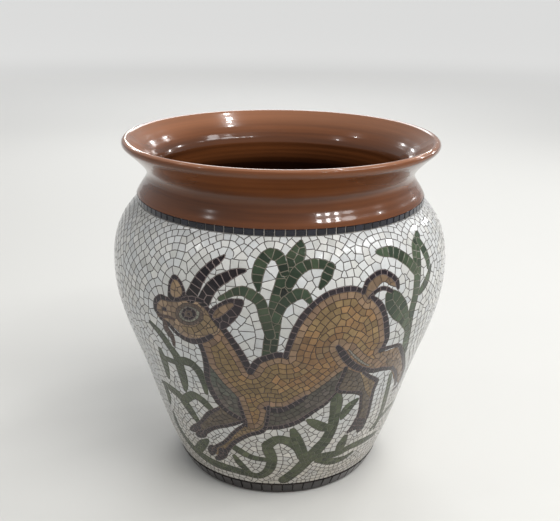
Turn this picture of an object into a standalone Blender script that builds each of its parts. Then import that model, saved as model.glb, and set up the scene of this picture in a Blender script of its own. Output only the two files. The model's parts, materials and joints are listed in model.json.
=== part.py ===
"""A wide-mouthed glazed earthenware garden pot, thrown in one piece.

Metres, +Z up. The pot stands on z = 0 with its axis on the Z axis. Its outer side is a smooth curve
through four stations, each with its own height, radius and slope, up to the lower edge of the
collar. Above that come an upright collar band, a rolled shoulder, a narrow waist and a flared
mouth with a round lip. The inside follows the outside at the wall's thickness.
"""

import math

import bmesh
import bpy

# Outer side: foot, flank and belly. A slope is the change of radius with height.
FOOT_RADIUS = 0.108
FOOT_SLOPE = 0.50
FOOT_BEVEL = 0.003
FLANK_HEIGHT = 0.120
FLANK_RADIUS = 0.150
FLANK_SLOPE = 0.31
BELLY_HEIGHT = 0.230
BELLY_RADIUS = 0.1785
SHOULDER_SLOPE = -1.10

# Collar band, the waist above it, and the mouth.
COLLAR_HEIGHT = 0.3015
COLLAR_RADIUS = 0.1513
COLLAR_BAND = 0.0065
COLLAR_SLOPE = -0.45
WAIST_HEIGHT = 0.3287
WAIST_RADIUS = 0.1406
RIM_RADIUS = 0.165
RIM_HEIGHT = 0.365
LIP_FLARE = math.radians(45)

# Wall and floor.
WALL = 0.0085
FLOOR = 0.012
FLOOR_CORNER = 0.006
INNER_SHOULDER_SLOPE = -0.95

# How finely the curves are cut up.
SIDES = 72
STEPS_FLANK = 5
STEPS_NECK = 5
STEPS_LIP = 8
STEPS_CORNER = 3

GLAZE_COLOUR = (0.23, 0.085, 0.045, 1.0)
GLAZE_ROUGHNESS = 0.18

WELD = 1e-6


def clear_scene():
    """Empty the scene, so that a second run starts afresh."""
    for old in list(bpy.data.objects):
        bpy.data.objects.remove(old, do_unlink=True)


def curve(start, end, steps):
    """Points (radius, height) after start, up to end, on a cubic with the given slopes.

    Each of start and end is (height, radius, slope).
    """
    z0, r0, m0 = start
    z1, r1, m1 = end
    rise = z1 - z0
    points = []
    for i in range(1, steps + 1):
        t = i / steps
        radius = (
            (2 * t**3 - 3 * t**2 + 1) * r0
            + (t**3 - 2 * t**2 + t) * rise * m0
            + (3 * t**2 - 2 * t**3) * r1
            + (t**3 - t**2) * rise * m1
        )
        points.append((radius, z0 + t * rise))
    return points


def through(stations, steps):
    """The first station's point, then a curve of so many steps to each further one."""
    points = [(stations[0][1], stations[0][0])]
    for start, end, count in zip(stations, stations[1:], steps):
        points += curve(start, end, count)
    return points


def arc(centre, radius, start, end, steps):
    """Points of a round corner about centre, from one angle to another, both ends included."""
    return [
        (
            centre[0] + radius * math.cos(start + (end - start) * i / steps),
            centre[1] + radius * math.sin(start + (end - start) * i / steps),
        )
        for i in range(steps + 1)
    ]


def inset(radius, slope):
    """The inner radius that leaves the wall's thickness, measured square to a sloping wall."""
    return radius - WALL * math.hypot(1.0, slope)


def lip_centre():
    """Centre (radius, height) of the round lip, which is as thick as the wall."""
    return RIM_RADIUS - WALL / 2, RIM_HEIGHT - WALL / 2


def lip_side(sign):
    """The end station of the outer (+1) or inner (-1) side of the flare, where the lip begins."""
    radius, height = lip_centre()
    return (
        height - sign * WALL / 2 * math.sin(LIP_FLARE),
        radius + sign * WALL / 2 * math.cos(LIP_FLARE),
        math.tan(LIP_FLARE),
    )


def outer_side():
    """Outer profile from the foot's bevel up to the lip."""
    foot = (FOOT_BEVEL, FOOT_RADIUS + FOOT_SLOPE * FOOT_BEVEL, FOOT_SLOPE)
    flank = (FLANK_HEIGHT, FLANK_RADIUS, FLANK_SLOPE)
    belly = (BELLY_HEIGHT, BELLY_RADIUS, 0.0)
    collar = (COLLAR_HEIGHT, COLLAR_RADIUS, SHOULDER_SLOPE)
    body = through([foot, flank, belly, collar], [STEPS_FLANK, STEPS_FLANK, STEPS_FLANK])
    band_top = (COLLAR_HEIGHT + COLLAR_BAND, COLLAR_RADIUS, COLLAR_SLOPE)
    waist = (WAIST_HEIGHT, WAIST_RADIUS, 0.0)
    neck = through([band_top, waist, lip_side(+1)], [STEPS_NECK, STEPS_NECK])
    return body + neck


def inner_side():
    """Inner profile from the floor's corner up to the lip."""
    flank = (FLANK_HEIGHT, inset(FLANK_RADIUS, FLANK_SLOPE), FLANK_SLOPE)
    belly = (BELLY_HEIGHT, inset(BELLY_RADIUS, 0.0), 0.0)
    collar_radius = inset(COLLAR_RADIUS, INNER_SHOULDER_SLOPE)
    collar = (COLLAR_HEIGHT, collar_radius, INNER_SHOULDER_SLOPE)
    waist = (WAIST_HEIGHT, inset(WAIST_RADIUS, 0.0), 0.0)
    corner_top = FLOOR + FLOOR_CORNER
    start_radius = inset(FOOT_RADIUS + FOOT_SLOPE * corner_top, FOOT_SLOPE)
    start = (corner_top, start_radius, FOOT_SLOPE)
    side = through(
        [start, flank, belly, collar, waist, lip_side(-1)],
        [STEPS_FLANK, STEPS_FLANK, STEPS_FLANK, STEPS_NECK, STEPS_NECK],
    )
    corner = arc(
        (start_radius - FLOOR_CORNER, corner_top), FLOOR_CORNER, -math.pi / 2, 0.0, STEPS_CORNER
    )
    return corner[:-1] + side


def pot_profile():
    """The closed half outline, from the underside's middle round the lip to the floor's middle."""
    underside = [(0.0, 0.0), (FOOT_RADIUS - FOOT_BEVEL, 0.0)]
    lip = arc(lip_centre(), WALL / 2, -LIP_FLARE, math.pi - LIP_FLARE, STEPS_LIP)
    inside = inner_side()
    return underside + outer_side() + lip[1:-1] + inside[::-1] + [(0.0, FLOOR)]


def glaze_material():
    """Brown glaze over fired clay."""
    material = bpy.data.materials.new("brown_glaze")
    material.use_nodes = True
    shader = material.node_tree.nodes["Principled BSDF"]
    shader.inputs["Base Color"].default_value = GLAZE_COLOUR
    shader.inputs["Roughness"].default_value = GLAZE_ROUGHNESS
    shader.inputs["Metallic"].default_value = 0.0
    return material


def turned(name, profile, material):
    """Turn a half outline about the Z axis into one closed body and return its object."""
    bm = bmesh.new()
    verts = [bm.verts.new((radius, 0.0, height)) for radius, height in profile]
    edges = [bm.edges.new(pair) for pair in zip(verts, verts[1:])]
    bmesh.ops.spin(
        bm,
        geom=verts + edges,
        cent=(0.0, 0.0, 0.0),
        axis=(0.0, 0.0, 1.0),
        angle=math.tau,
        steps=SIDES,
    )
    bmesh.ops.remove_doubles(bm, verts=bm.verts, dist=WELD)
    bmesh.ops.recalc_face_normals(bm, faces=bm.faces)
    mesh = bpy.data.meshes.new(name)
    bm.to_mesh(mesh)
    bm.free()
    mesh.shade_smooth()
    mesh.set_sharp_from_angle(angle=math.radians(35))
    mesh.materials.append(material)
    body = bpy.data.objects.new(name, mesh)
    bpy.context.scene.collection.objects.link(body)
    return body


def build_pot():
    """The whole pot: one thrown vessel, open at the mouth and empty."""
    return turned("pot", pot_profile(), glaze_material())


clear_scene()
build_pot()
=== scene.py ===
"""Looks of a glazed garden pot whose body is scored and painted like a stone mosaic.

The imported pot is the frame. Its one node is replaced by a finely turned vessel, two rings of dark
tiles and a skin of some thousands of scored cells laid in rows round a leaping goat and its plants.
Metres, +Z up. The goat faces -Y, and an angle round the pot is counted in degrees from there,
positive towards +X. A picture's points are (degrees round, millimetres up) on the outer wall.
NEAR is a small length in metres and CLOSE a small angle in degrees. TINY keeps a divisor from being
nothing, and UNREACHED is farther than any spot of the raster. LINE, SHOULDER and TOP are the kinds
of faces that a cell has.
"""

import json
import logging
import math
from dataclasses import dataclass
from enum import Enum

import bpy
import numpy as np
from mathutils import Matrix, Vector

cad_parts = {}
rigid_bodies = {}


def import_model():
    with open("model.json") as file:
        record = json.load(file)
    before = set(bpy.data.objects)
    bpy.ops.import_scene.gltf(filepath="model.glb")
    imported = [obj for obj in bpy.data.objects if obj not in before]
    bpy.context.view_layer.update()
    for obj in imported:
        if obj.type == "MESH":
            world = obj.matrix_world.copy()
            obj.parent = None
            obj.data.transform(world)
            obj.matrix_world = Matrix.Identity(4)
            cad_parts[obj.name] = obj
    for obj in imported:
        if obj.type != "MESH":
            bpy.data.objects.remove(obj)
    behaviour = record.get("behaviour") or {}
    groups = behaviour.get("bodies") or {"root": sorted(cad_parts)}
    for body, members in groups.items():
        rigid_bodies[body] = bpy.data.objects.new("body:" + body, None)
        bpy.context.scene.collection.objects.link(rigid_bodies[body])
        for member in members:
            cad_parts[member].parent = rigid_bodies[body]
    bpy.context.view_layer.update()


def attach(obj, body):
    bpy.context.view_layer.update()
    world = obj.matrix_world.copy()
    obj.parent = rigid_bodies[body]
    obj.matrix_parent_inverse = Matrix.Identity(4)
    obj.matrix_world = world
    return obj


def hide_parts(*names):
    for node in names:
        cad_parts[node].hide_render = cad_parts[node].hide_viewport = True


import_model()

LOG = logging.getLogger("garden_pot")
NODE = "pot"
BODY = "root"
MM = 0.001
NEAR = 0.0001
CLOSE = 1e-4
TINY = 1e-12
UNREACHED = 1e9
LINE, SHOULDER, TOP = range(3)


def from_screen(red: int, green: int, blue: int) -> tuple[float, float, float]:
    """Turn an 8-bit screen colour into the linear colour that a shader takes."""

    def linear(level: int) -> float:
        """One channel."""
        share = level / 255
        return share / 12.92 if share <= 0.04045 else ((share + 0.055) / 1.055) ** 2.4

    return linear(red), linear(green), linear(blue)


class Glaze(Enum):
    """The painter's colours on the scored body."""

    GROUND = "ground"
    LEAF_DEEP = "leaf_deep"
    LEAF_MID = "leaf_mid"
    LEAF_GREY = "leaf_grey"
    OCHRE = "ochre"
    OCHRE_DULL = "ochre_dull"
    TAIL = "tail"
    SHANK = "shank"
    FLANK_SHADE = "flank_shade"
    CHEST_SHADE = "chest_shade"
    OUTLINE = "outline"
    OUTLINE_SOFT = "outline_soft"
    FACE = "face"
    EYE_RING = "eye_ring"
    EYE_LIGHT = "eye_light"
    HORN = "horn"


@dataclass(frozen=True)
class CellColour:
    """What one of the painter's colours looks like on cells and in the scored lines round them.

    The tints are screen colours that the wash blends between, the spread and the stray are how far
    chance moves a cell's brightness and its place in the wash, and the cell is the depth of a row,
    in degrees of the rolled-out wall. The edge's tints are those of the row along a shape's edge.
    """

    tints: tuple[tuple[int, int, int], ...]
    line: tuple[int, int, int]
    spread: float = 0.06
    stray: float = 0.3
    cell: float = 2.3
    edge: tuple[tuple[int, int, int], ...] = ()


PALETTE = {
    Glaze.GROUND: CellColour(
        ((200, 201, 200), (194, 196, 196), (205, 204, 200), (190, 190, 186)), (72, 66, 62), 0.025, cell=2.5
    ),
    Glaze.LEAF_DEEP: CellColour(((34, 46, 33), (45, 59, 42), (58, 69, 50)), (108, 102, 88), 0.1),
    Glaze.LEAF_MID: CellColour(((44, 57, 42), (59, 72, 52), (73, 84, 64)), (108, 106, 92), 0.1),
    Glaze.LEAF_GREY: CellColour(((52, 60, 42), (64, 72, 51), (77, 83, 61)), (84, 88, 70), 0.09),
    Glaze.OCHRE: CellColour(
        ((118, 97, 64), (130, 107, 71), (138, 105, 68), (126, 95, 63), (131, 112, 84)),
        (62, 42, 27),
        spread=0.05,
        stray=0.13,
        cell=2.15,
        edge=((126, 101, 80), (134, 110, 86), (120, 97, 72)),
    ),
    Glaze.OCHRE_DULL: CellColour(((120, 101, 74), (139, 119, 91)), (56, 43, 34), cell=1.9),
    Glaze.TAIL: CellColour(((112, 92, 72), (132, 110, 88)), (72, 56, 44)),
    Glaze.SHANK: CellColour(((84, 74, 64), (98, 86, 70)), (56, 46, 40), cell=2.1),
    Glaze.FLANK_SHADE: CellColour(((74, 71, 62), (84, 77, 70), (94, 86, 80)), (44, 37, 33), cell=2.1),
    Glaze.CHEST_SHADE: CellColour(((74, 78, 68), (85, 85, 76), (90, 82, 76)), (52, 48, 44), cell=2.1),
    Glaze.OUTLINE: CellColour(((29, 20, 27), (39, 30, 35)), (106, 92, 90), 0.08, cell=2.2),
    Glaze.OUTLINE_SOFT: CellColour(((66, 49, 44), (76, 58, 52)), (96, 80, 72), cell=2.0),
    Glaze.FACE: CellColour(((130, 110, 90), (149, 127, 103), (139, 117, 90)), (74, 58, 48), cell=1.75),
    Glaze.EYE_RING: CellColour(((98, 84, 74), (84, 72, 66)), (64, 54, 48), 0.05, cell=1.5),
    Glaze.EYE_LIGHT: CellColour(((126, 126, 114), (138, 130, 118)), (74, 66, 62), 0.04, cell=1.3),
    Glaze.HORN: CellColour(((15, 9, 14), (26, 18, 22)), (128, 114, 110), 0.08, cell=2.25),
}


@dataclass(frozen=True)
class Stroke:
    """A brush stroke with a changing width, given as (degrees, millimetres up, width in mm)."""

    colour: Glaze
    points: tuple[tuple[float, float, float], ...]


@dataclass(frozen=True)
class Patch:
    """A filled shape with a smooth edge, given as (degrees, millimetres up)."""

    colour: Glaze
    points: tuple[tuple[float, float], ...]


@dataclass(frozen=True)
class WallCurve:
    """Outer and inner profile of the vessel, in metres, as the solid has it."""

    foot_radius: float = 0.108
    foot_slope: float = 0.50
    foot_bevel: float = 0.003
    flank_height: float = 0.120
    flank_radius: float = 0.150
    flank_slope: float = 0.31
    belly_height: float = 0.230
    belly_radius: float = 0.1785
    shoulder_slope: float = -1.10
    collar_height: float = 0.3015
    collar_radius: float = 0.1513
    collar_band: float = 0.0065
    collar_slope: float = -0.45
    waist_height: float = 0.3287
    waist_radius: float = 0.1406
    rim_radius: float = 0.165
    rim_height: float = 0.365
    lip_flare: float = math.radians(45)
    wall: float = 0.0085
    floor: float = 0.012
    floor_corner: float = 0.006
    inner_shoulder_slope: float = -0.95

    @staticmethod
    def cubic(start: tuple, end: tuple, steps: int) -> np.ndarray:
        """Points (radius, height) after start up to end, each given as (height, radius, slope).

        Args:
            start: First station.
            end: Last station.
            steps: How many points to return.

        Returns:
            An array of shape (steps, 2).
        """
        t = np.arange(1, steps + 1) / steps
        rise = end[0] - start[0]
        radius = (
            (2 * t**3 - 3 * t**2 + 1) * start[1]
            + (t**3 - 2 * t**2 + t) * rise * start[2]
            + (3 * t**2 - 2 * t**3) * end[1]
            + (t**3 - t**2) * rise * end[2]
        )
        return np.stack([radius, start[0] + t * rise], 1)

    def through(self, stations: list[tuple], steps: int) -> np.ndarray:
        """Points on the smooth curve through the stations, the first one included."""
        parts = [np.array([[stations[0][1], stations[0][0]]])]
        for start, end in zip(stations, stations[1:]):
            parts.append(self.cubic(start, end, steps))
        return np.concatenate(parts)

    def inset(self, radius: float, slope: float) -> float:
        """Inner radius that leaves the wall's thickness square to a sloping wall."""
        return radius - self.wall * math.hypot(1.0, slope)

    def lip_centre(self) -> tuple[float, float]:
        """Middle (radius, height) of the round lip."""
        return self.rim_radius - self.wall / 2, self.rim_height - self.wall / 2

    def lip_side(self, sign: int) -> tuple[float, float, float]:
        """Station where the flare's outer (+1) or inner (-1) side meets the lip."""
        radius, height = self.lip_centre()
        reach = sign * self.wall / 2
        return (
            height - reach * math.sin(self.lip_flare),
            radius + reach * math.cos(self.lip_flare),
            math.tan(self.lip_flare),
        )

    def body(self, steps: int) -> np.ndarray:
        """Outer side from the foot to the collar's lower edge."""
        return self.through(
            [
                (0.0, self.foot_radius, self.foot_slope),
                (self.flank_height, self.flank_radius, self.flank_slope),
                (self.belly_height, self.belly_radius, 0.0),
                (self.collar_height, self.collar_radius, self.shoulder_slope),
            ],
            steps,
        )

    def neck(self, steps: int) -> np.ndarray:
        """Outer side from the band's upper edge to the lip."""
        band_top = (self.collar_height + self.collar_band, self.collar_radius, self.collar_slope)
        waist = (self.waist_height, self.waist_radius, 0.0)
        return self.through([band_top, waist, self.lip_side(+1)], steps)

    def lip(self, steps: int) -> np.ndarray:
        """The round lip, from its outer to its inner side, without its ends."""
        radius, height = self.lip_centre()
        angle = np.linspace(-self.lip_flare, math.pi - self.lip_flare, steps + 1)[1:-1]
        reach = self.wall / 2
        return np.stack([radius + reach * np.cos(angle), height + reach * np.sin(angle)], 1)

    def inside(self, steps: int) -> np.ndarray:
        """Inner side, from the lip down to the floor's edge."""
        corner_top = self.floor + self.floor_corner
        start_radius = self.inset(self.foot_radius + self.foot_slope * corner_top, self.foot_slope)
        collar_radius = self.inset(self.collar_radius, self.inner_shoulder_slope)
        side = self.through(
            [
                (corner_top, start_radius, self.foot_slope),
                (self.flank_height, self.inset(self.flank_radius, self.flank_slope), self.flank_slope),
                (self.belly_height, self.inset(self.belly_radius, 0.0), 0.0),
                (self.collar_height, collar_radius, self.inner_shoulder_slope),
                (self.waist_height, self.inset(self.waist_radius, 0.0), 0.0),
                self.lip_side(-1),
            ],
            steps,
        )
        angle = np.linspace(0.0, -math.pi / 2, 7)[1:]
        radius = start_radius - self.floor_corner * (1 - np.cos(angle))
        corner = np.stack([radius, corner_top + self.floor_corner * np.sin(angle)], 1)
        return np.concatenate([side[::-1], corner])


class Unrolled:
    """The outer wall rolled out flat without distortion: degrees round by degrees up.

    A length of one degree there is the same in both directions at any one height, and stands for
    the wall's radius times one degree, so cells are smaller towards the foot, as on the real pot.
    """

    def __init__(self, wall: WallCurve) -> None:
        """Tabulate the way up the wall."""
        curve = wall.body(400)
        self.radii = curve[:, 0]
        self.heights = curve[:, 1]
        self.slopes = np.gradient(self.radii, self.heights)
        way = np.hypot(np.diff(self.radii), np.diff(self.heights))
        middle = (self.radii[1:] + self.radii[:-1]) / 2
        self.ups = np.degrees(np.concatenate([[0.0], np.cumsum(way / middle)]))

    def up(self, height_mm: np.ndarray) -> np.ndarray:
        """Degrees up for a height in millimetres."""
        return np.interp(np.asarray(height_mm) * MM, self.heights, self.ups)

    def degree(self, height_mm: np.ndarray) -> np.ndarray:
        """Length of one degree, in millimetres, at a height in millimetres."""
        return np.radians(np.interp(np.asarray(height_mm) * MM, self.heights, self.radii)) / MM

    def place(self, turn: np.ndarray, up: np.ndarray, out: np.ndarray) -> np.ndarray:
        """Points of space, in metres.

        Args:
            turn: Degrees round the pot.
            up: Degrees up the rolled-out wall.
            out: Metres that the point stands proud of the wall.

        Returns:
            An array of shape (n, 3).
        """
        radius = np.interp(up, self.ups, self.radii)
        height = np.interp(up, self.ups, self.heights)
        slope = np.interp(up, self.ups, self.slopes)
        steep = np.hypot(1.0, slope)
        radius = radius + out / steep
        height = height - out * slope / steep
        angle = np.radians(turn)
        return np.stack([radius * np.sin(angle), -radius * np.cos(angle), height], 1)


def spline(points: np.ndarray, closed: bool, steps: int = 14) -> np.ndarray:
    """A smooth line through the points.

    Args:
        points: Array of shape (n, k), all of whose columns are carried along.
        closed: Whether the last point leads back to the first.
        steps: Points for each stretch.

    Returns:
        The line's points.
    """
    count = len(points)
    t = np.arange(steps)[:, None] / steps
    parts = []
    for i in range(count if closed else count - 1):
        b, c = points[i], points[(i + 1) % count]
        a = points[i - 1] if closed or i > 0 else 2 * b - c
        d = points[(i + 2) % count] if closed or i + 2 < count else 2 * c - b
        parts.append(
            0.5 * (2 * b + (c - a) * t + (2 * a - 5 * b + 4 * c - d) * t**2)
            + 0.5 * (3 * b - a - 3 * c + d) * t**3
        )
    if not closed:
        parts.append(points[-1:])
    return np.concatenate(parts)


def way_along(line: np.ndarray) -> np.ndarray:
    """Length up to each point of a line, by its first two columns."""
    return np.concatenate([[0.0], np.cumsum(np.hypot(*np.diff(line[:, :2], axis=0).T))])


def evenly(line: np.ndarray, gap: float) -> np.ndarray:
    """Points spaced evenly along a line by its first two columns.

    Args:
        line: The line's points, one a row.
        gap: Wanted distance between points.

    Returns:
        The new points, with all columns.
    """
    way = way_along(line)
    count = max(1, round(way[-1] / gap))
    at = np.linspace(0.0, way[-1], count + 1)
    return np.stack([np.interp(at, way, column) for column in line.T], 1)


@dataclass
class Sites:
    """Seeds of the cells: place on the raster, the painted shape they lie in, and their row."""

    place: np.ndarray
    shape: np.ndarray
    row: np.ndarray

    def some(self, keep: np.ndarray) -> "Sites":
        """The sites picked by a mask."""
        return Sites(self.place[keep], self.shape[keep], self.row[keep])

    def plus(self, other: "Sites") -> "Sites":
        """These sites and the other ones."""
        return Sites(
            np.concatenate([self.place, other.place]),
            np.concatenate([self.shape, other.shape]),
            np.concatenate([self.row, other.row]),
        )


@dataclass
class CellLayout:
    """The picture cut into cells, in rows that follow each painted shape.

    The grain is the raster's steps in a degree, and the strip is in raster steps. The centring is
    a share of the way to a cell's middle. The other numbers after the seed are in cells.
    """

    flat: Unrolled
    low_mm: float
    high_mm: float
    shapes: list[Stroke | Patch]
    grain: float = 8.0
    seed: int = 5
    strip: float = 1.1
    spacing: tuple[float, float] = (0.92, 1.18)
    uneven: float = 0.12
    two_lanes: float = 1.75
    other_row: float = 0.8
    gap_limit: float = 1.12
    gap_crowd: float = 0.8
    centring: float = 0.6
    reaches: tuple[float, float, float] = (1.3, 1.5, 2.2)
    least: tuple[float, float] = (0.35, 0.2)

    def __post_init__(self) -> None:
        """Set up the raster of painted shapes."""
        self.low = float(self.flat.up(self.low_mm))
        self.high = float(self.flat.up(self.high_mm))
        self.rows = round((self.high - self.low) * self.grain)
        self.columns = round(360 * self.grain)
        self.region = np.zeros((self.rows, self.columns), np.int16)
        self.row_of = np.zeros((self.rows, self.columns), np.int16)
        self.colours = [Glaze.GROUND] + [shape.colour for shape in self.shapes]
        self.size = np.array([PALETTE[colour].cell for colour in self.colours]) * self.grain
        self.random = np.random.default_rng(self.seed)

    def to_raster(self, turn: np.ndarray, up: np.ndarray) -> tuple[np.ndarray, np.ndarray]:
        """Raster column and row of a place on the rolled-out wall."""
        return (turn + 180) * self.grain - 0.5, (up - self.low) * self.grain - 0.5

    def spots(self, places: np.ndarray) -> tuple[np.ndarray, np.ndarray]:
        """Raster row and column numbers of places given as (column, row)."""
        row = np.clip(np.round(places[:, 1]).astype(int), 0, self.rows - 1)
        return row, np.round(places[:, 0]).astype(int) % self.columns

    def line_of(self, shape: Stroke | Patch) -> np.ndarray:
        """A shape's smooth line on the rolled-out wall, with half widths for a stroke."""
        points = np.array(shape.points, float)
        columns = [points[:, 0], self.flat.up(points[:, 1])]
        if isinstance(shape, Stroke):
            columns.append(points[:, 2] / 2 / self.flat.degree(points[:, 1]))
        return spline(np.stack(columns, 1), isinstance(shape, Patch))

    def paint_stroke(self, index: int, line: np.ndarray) -> None:
        """Lay a stroke on the raster as a row of overlapping discs.

        Args:
            index: The stroke's number.
            line: Its line on the rolled-out wall, with half widths.
        """
        for turn, up, half in evenly(line, 1.5 / self.grain):
            column, row = self.to_raster(turn, up)
            reach = math.ceil(half * self.grain) + 1
            across = np.arange(int(column) - reach, int(column) + reach + 2)
            along = np.arange(max(0, int(row) - reach), min(self.rows, int(row) + reach + 2))
            apart = (across - column)[None, :] ** 2 + (along - row)[:, None] ** 2
            spot = np.ix_(along, across % self.columns)
            block = self.region[spot]
            block[apart <= (half * self.grain) ** 2] = index
            self.region[spot] = block

    def paint_patch(self, index: int, line: np.ndarray) -> None:
        """Fill a closed line on the raster, row by row.

        Args:
            index: The patch's number.
            line: Its line on the rolled-out wall.
        """
        x0, y0 = self.to_raster(line[:, 0], line[:, 1])
        x1, y1 = np.roll(x0, -1), np.roll(y0, -1)
        for row in range(max(0, int(y0.min())), min(self.rows - 1, int(y0.max()) + 1) + 1):
            cut = (y0 <= row) != (y1 <= row)
            share = (row - y0[cut]) / (y1[cut] - y0[cut])
            crossings = np.sort(x0[cut] + share * (x1[cut] - x0[cut]))
            for start, end in zip(crossings[::2], crossings[1::2]):
                run = np.arange(math.ceil(start), math.floor(end) + 1)
                self.region[row, run % self.columns] = index

    def paint(self) -> None:
        """Paint all shapes in order, the later ones over the earlier ones."""
        for index, shape in enumerate(self.shapes, start=1):
            line = self.line_of(shape)
            if isinstance(shape, Stroke):
                self.paint_stroke(index, line)
            else:
                self.paint_patch(index, line)

    def edge_distance(self, reach: int = 240, step: int = 2) -> np.ndarray:
        """Distance, in raster steps, from each spot to the nearest edge between shapes or the foot.

        Args:
            reach: How far to look, in coarse steps.
            step: Raster steps in one coarse step.

        Returns:
            An array as large as the raster.
        """
        coarse = self.region[::step, ::step]
        edge = (coarse != np.roll(coarse, 1, 1)) | (coarse != np.roll(coarse, -1, 1))
        edge[1:] |= coarse[1:] != coarse[:-1]
        edge[:-1] |= coarse[1:] != coarse[:-1]
        edge[0] = True
        width = coarse.shape[1]
        spots = np.arange(3 * width)
        tripled = np.concatenate([edge, edge, edge], 1)
        beyond = 10**6
        before = np.maximum.accumulate(np.where(tripled, spots, -beyond), 1)
        after = np.minimum.accumulate(np.where(tripled, spots, beyond)[:, ::-1], 1)[:, ::-1]
        sideways = np.minimum(spots - before, after - spots)[:, width : 2 * width]
        sideways = np.minimum(sideways, reach).astype(np.float32) ** 2
        best = sideways.copy()
        for rise in range(1, min(reach, coarse.shape[0])):
            square = np.float32(rise * rise)
            np.minimum(best[rise:], sideways[:-rise] + square, out=best[rise:])
            np.minimum(best[:-rise], sideways[rise:] + square, out=best[:-rise])
        distance = np.sqrt(best) + 0.5
        for _ in range(2):
            beside = np.roll(distance, 1, 1) + np.roll(distance, -1, 1)
            above = np.concatenate([distance[1:], distance[-1:]])
            below = np.concatenate([distance[:1], distance[:-1]])
            distance = (2 * distance + beside + above + below) / 6
        fine = np.repeat(np.repeat(distance, step, 0), step, 1) * step
        for axis in (0, 1):
            fine = (fine + np.roll(fine, 1, axis)) / 2
        return fine[: self.rows, : self.columns]

    def number_rows(self, distance: np.ndarray) -> None:
        """Number the rows of each patch and of the ground, from the shape's edge inwards."""
        rows = (distance / self.size[self.region]).astype(np.int16)
        strokes = np.array([False] + [isinstance(shape, Stroke) for shape in self.shapes])
        rows[strokes[self.region]] = 0
        self.row_of = rows

    def row_sites(self, index: int, distance: np.ndarray) -> np.ndarray:
        """Sites walked along the rows that follow one shape's edge.

        Args:
            index: The shape's number.
            distance: Distance from each spot to a shape's edge.

        Returns:
            Raster columns and rows of the sites.
        """
        rows, columns = np.nonzero(self.region == index)
        if not len(rows):
            return np.zeros((0, 2))
        depth = distance[rows, columns]
        size = self.size[index]
        found = []
        for course in range(math.ceil(depth.max() / size)):
            on_row = np.abs(depth - (course + 0.5) * size) < self.strip
            x = columns[on_row].astype(np.float32)
            y = rows[on_row].astype(np.float32)
            if not len(x):
                continue
            free = np.ones(len(x), bool)
            here = int(self.random.integers(len(x)))
            while True:
                found.append((x[here], y[here]))
                apart = np.abs(x - x[here])
                apart = np.minimum(apart, self.columns - apart)
                square = apart**2 + (y - y[here]) ** 2
                free &= square > (size * self.random.uniform(*self.spacing)) ** 2
                if not free.any():
                    break
                here = int(np.argmin(np.where(free, square, np.float32(UNREACHED))))
        if not found:
            deepest = int(np.argmax(depth))
            found.append((columns[deepest], rows[deepest]))
        return np.array(found, float)

    def stroke_sites(self, index: int, line: np.ndarray) -> np.ndarray:
        """Sites along a stroke, in one lane, or in two where it is wide.

        Args:
            index: The stroke's number.
            line: Its line on the rolled-out wall.

        Returns:
            Raster columns and rows of the sites.
        """
        cell = self.size[index] / self.grain
        line = evenly(line, 0.1)
        way = way_along(line)
        count = max(1, round(way[-1] / cell))
        stray = self.random.uniform(-self.uneven, self.uneven, count)
        at = (np.arange(count) + 0.5 + stray) * way[-1] / count
        turn, up, half = (np.interp(at, way, column) for column in line.T)
        ahead = np.stack([np.interp(at, way, np.gradient(column)) for column in line[:, :2].T])
        ahead /= np.hypot(*ahead) + 1e-9
        found = []
        for i in range(count):
            offsets = (-0.5, 0.5) if 2 * half[i] > self.two_lanes * cell else (0.0,)
            for offset in offsets:
                aside = half[i] * offset
                found.append((turn[i] - ahead[1, i] * aside, up[i] + ahead[0, i] * aside))
        places = np.array(found)
        return np.stack(self.to_raster(places[:, 0], places[:, 1]), 1)

    def first_sites(self, distance: np.ndarray) -> Sites:
        """Sites of every shape: along strokes, and in rows elsewhere."""
        every = Sites(np.zeros((0, 2)), np.zeros(0, int), np.zeros(0, int))
        for index in range(len(self.shapes) + 1):
            shape = self.shapes[index - 1] if index else None
            if isinstance(shape, Stroke):
                places = self.stroke_sites(index, self.line_of(shape))
            else:
                places = self.row_sites(index, distance)
            spots = self.spots(places)
            inside = self.region[spots] == index
            rows = self.row_of[spots][inside]
            every = every.plus(Sites(places[inside], np.full(len(rows), index), rows))
        return every

    def label(self, sites: Sites, reach: float) -> tuple[np.ndarray, np.ndarray]:
        """Give each spot to the nearest site of its own shape, and of its own row if one is near.

        Args:
            sites: The sites.
            reach: How far a site looks, in cells.

        Returns:
            The site of each spot, or -1, and its distance in cells.
        """
        margin = math.ceil(reach * self.size.max()) + 1
        around = ((0, 0), (margin, margin))
        region, row_of = (np.pad(part, around, mode="wrap") for part in (self.region, self.row_of))
        best = np.full(region.shape, UNREACHED, np.float32)
        owner = np.full(region.shape, -1, np.int32)
        for i, (place, index, row) in enumerate(zip(sites.place, sites.shape, sites.row)):
            look = math.ceil(reach * self.size[index])
            for turn in (0, self.columns, -self.columns):
                x, y = place[0] + margin + turn, place[1]
                left, right = max(0, int(x) - look), min(region.shape[1], int(x) + look + 1)
                if left >= right:
                    continue
                low, high = max(0, int(y) - look), min(self.rows, int(y) + look + 1)
                across = (np.arange(left, right, dtype=np.float32) - np.float32(x)) ** 2
                along = (np.arange(low, high, dtype=np.float32)[:, None] - np.float32(y)) ** 2
                spot = (slice(low, high), slice(left, right))
                apart = (across + along) / np.float32(self.size[index] ** 2)
                apart += (row_of[spot] != row) * np.float32(self.other_row)
                nearer = (apart < best[spot]) & (region[spot] == index)
                best[spot][nearer] = apart[nearer]
                owner[spot][nearer] = i
        inner = slice(margin, margin + self.columns)
        return owner[:, inner].copy(), np.sqrt(best[:, inner])

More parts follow.
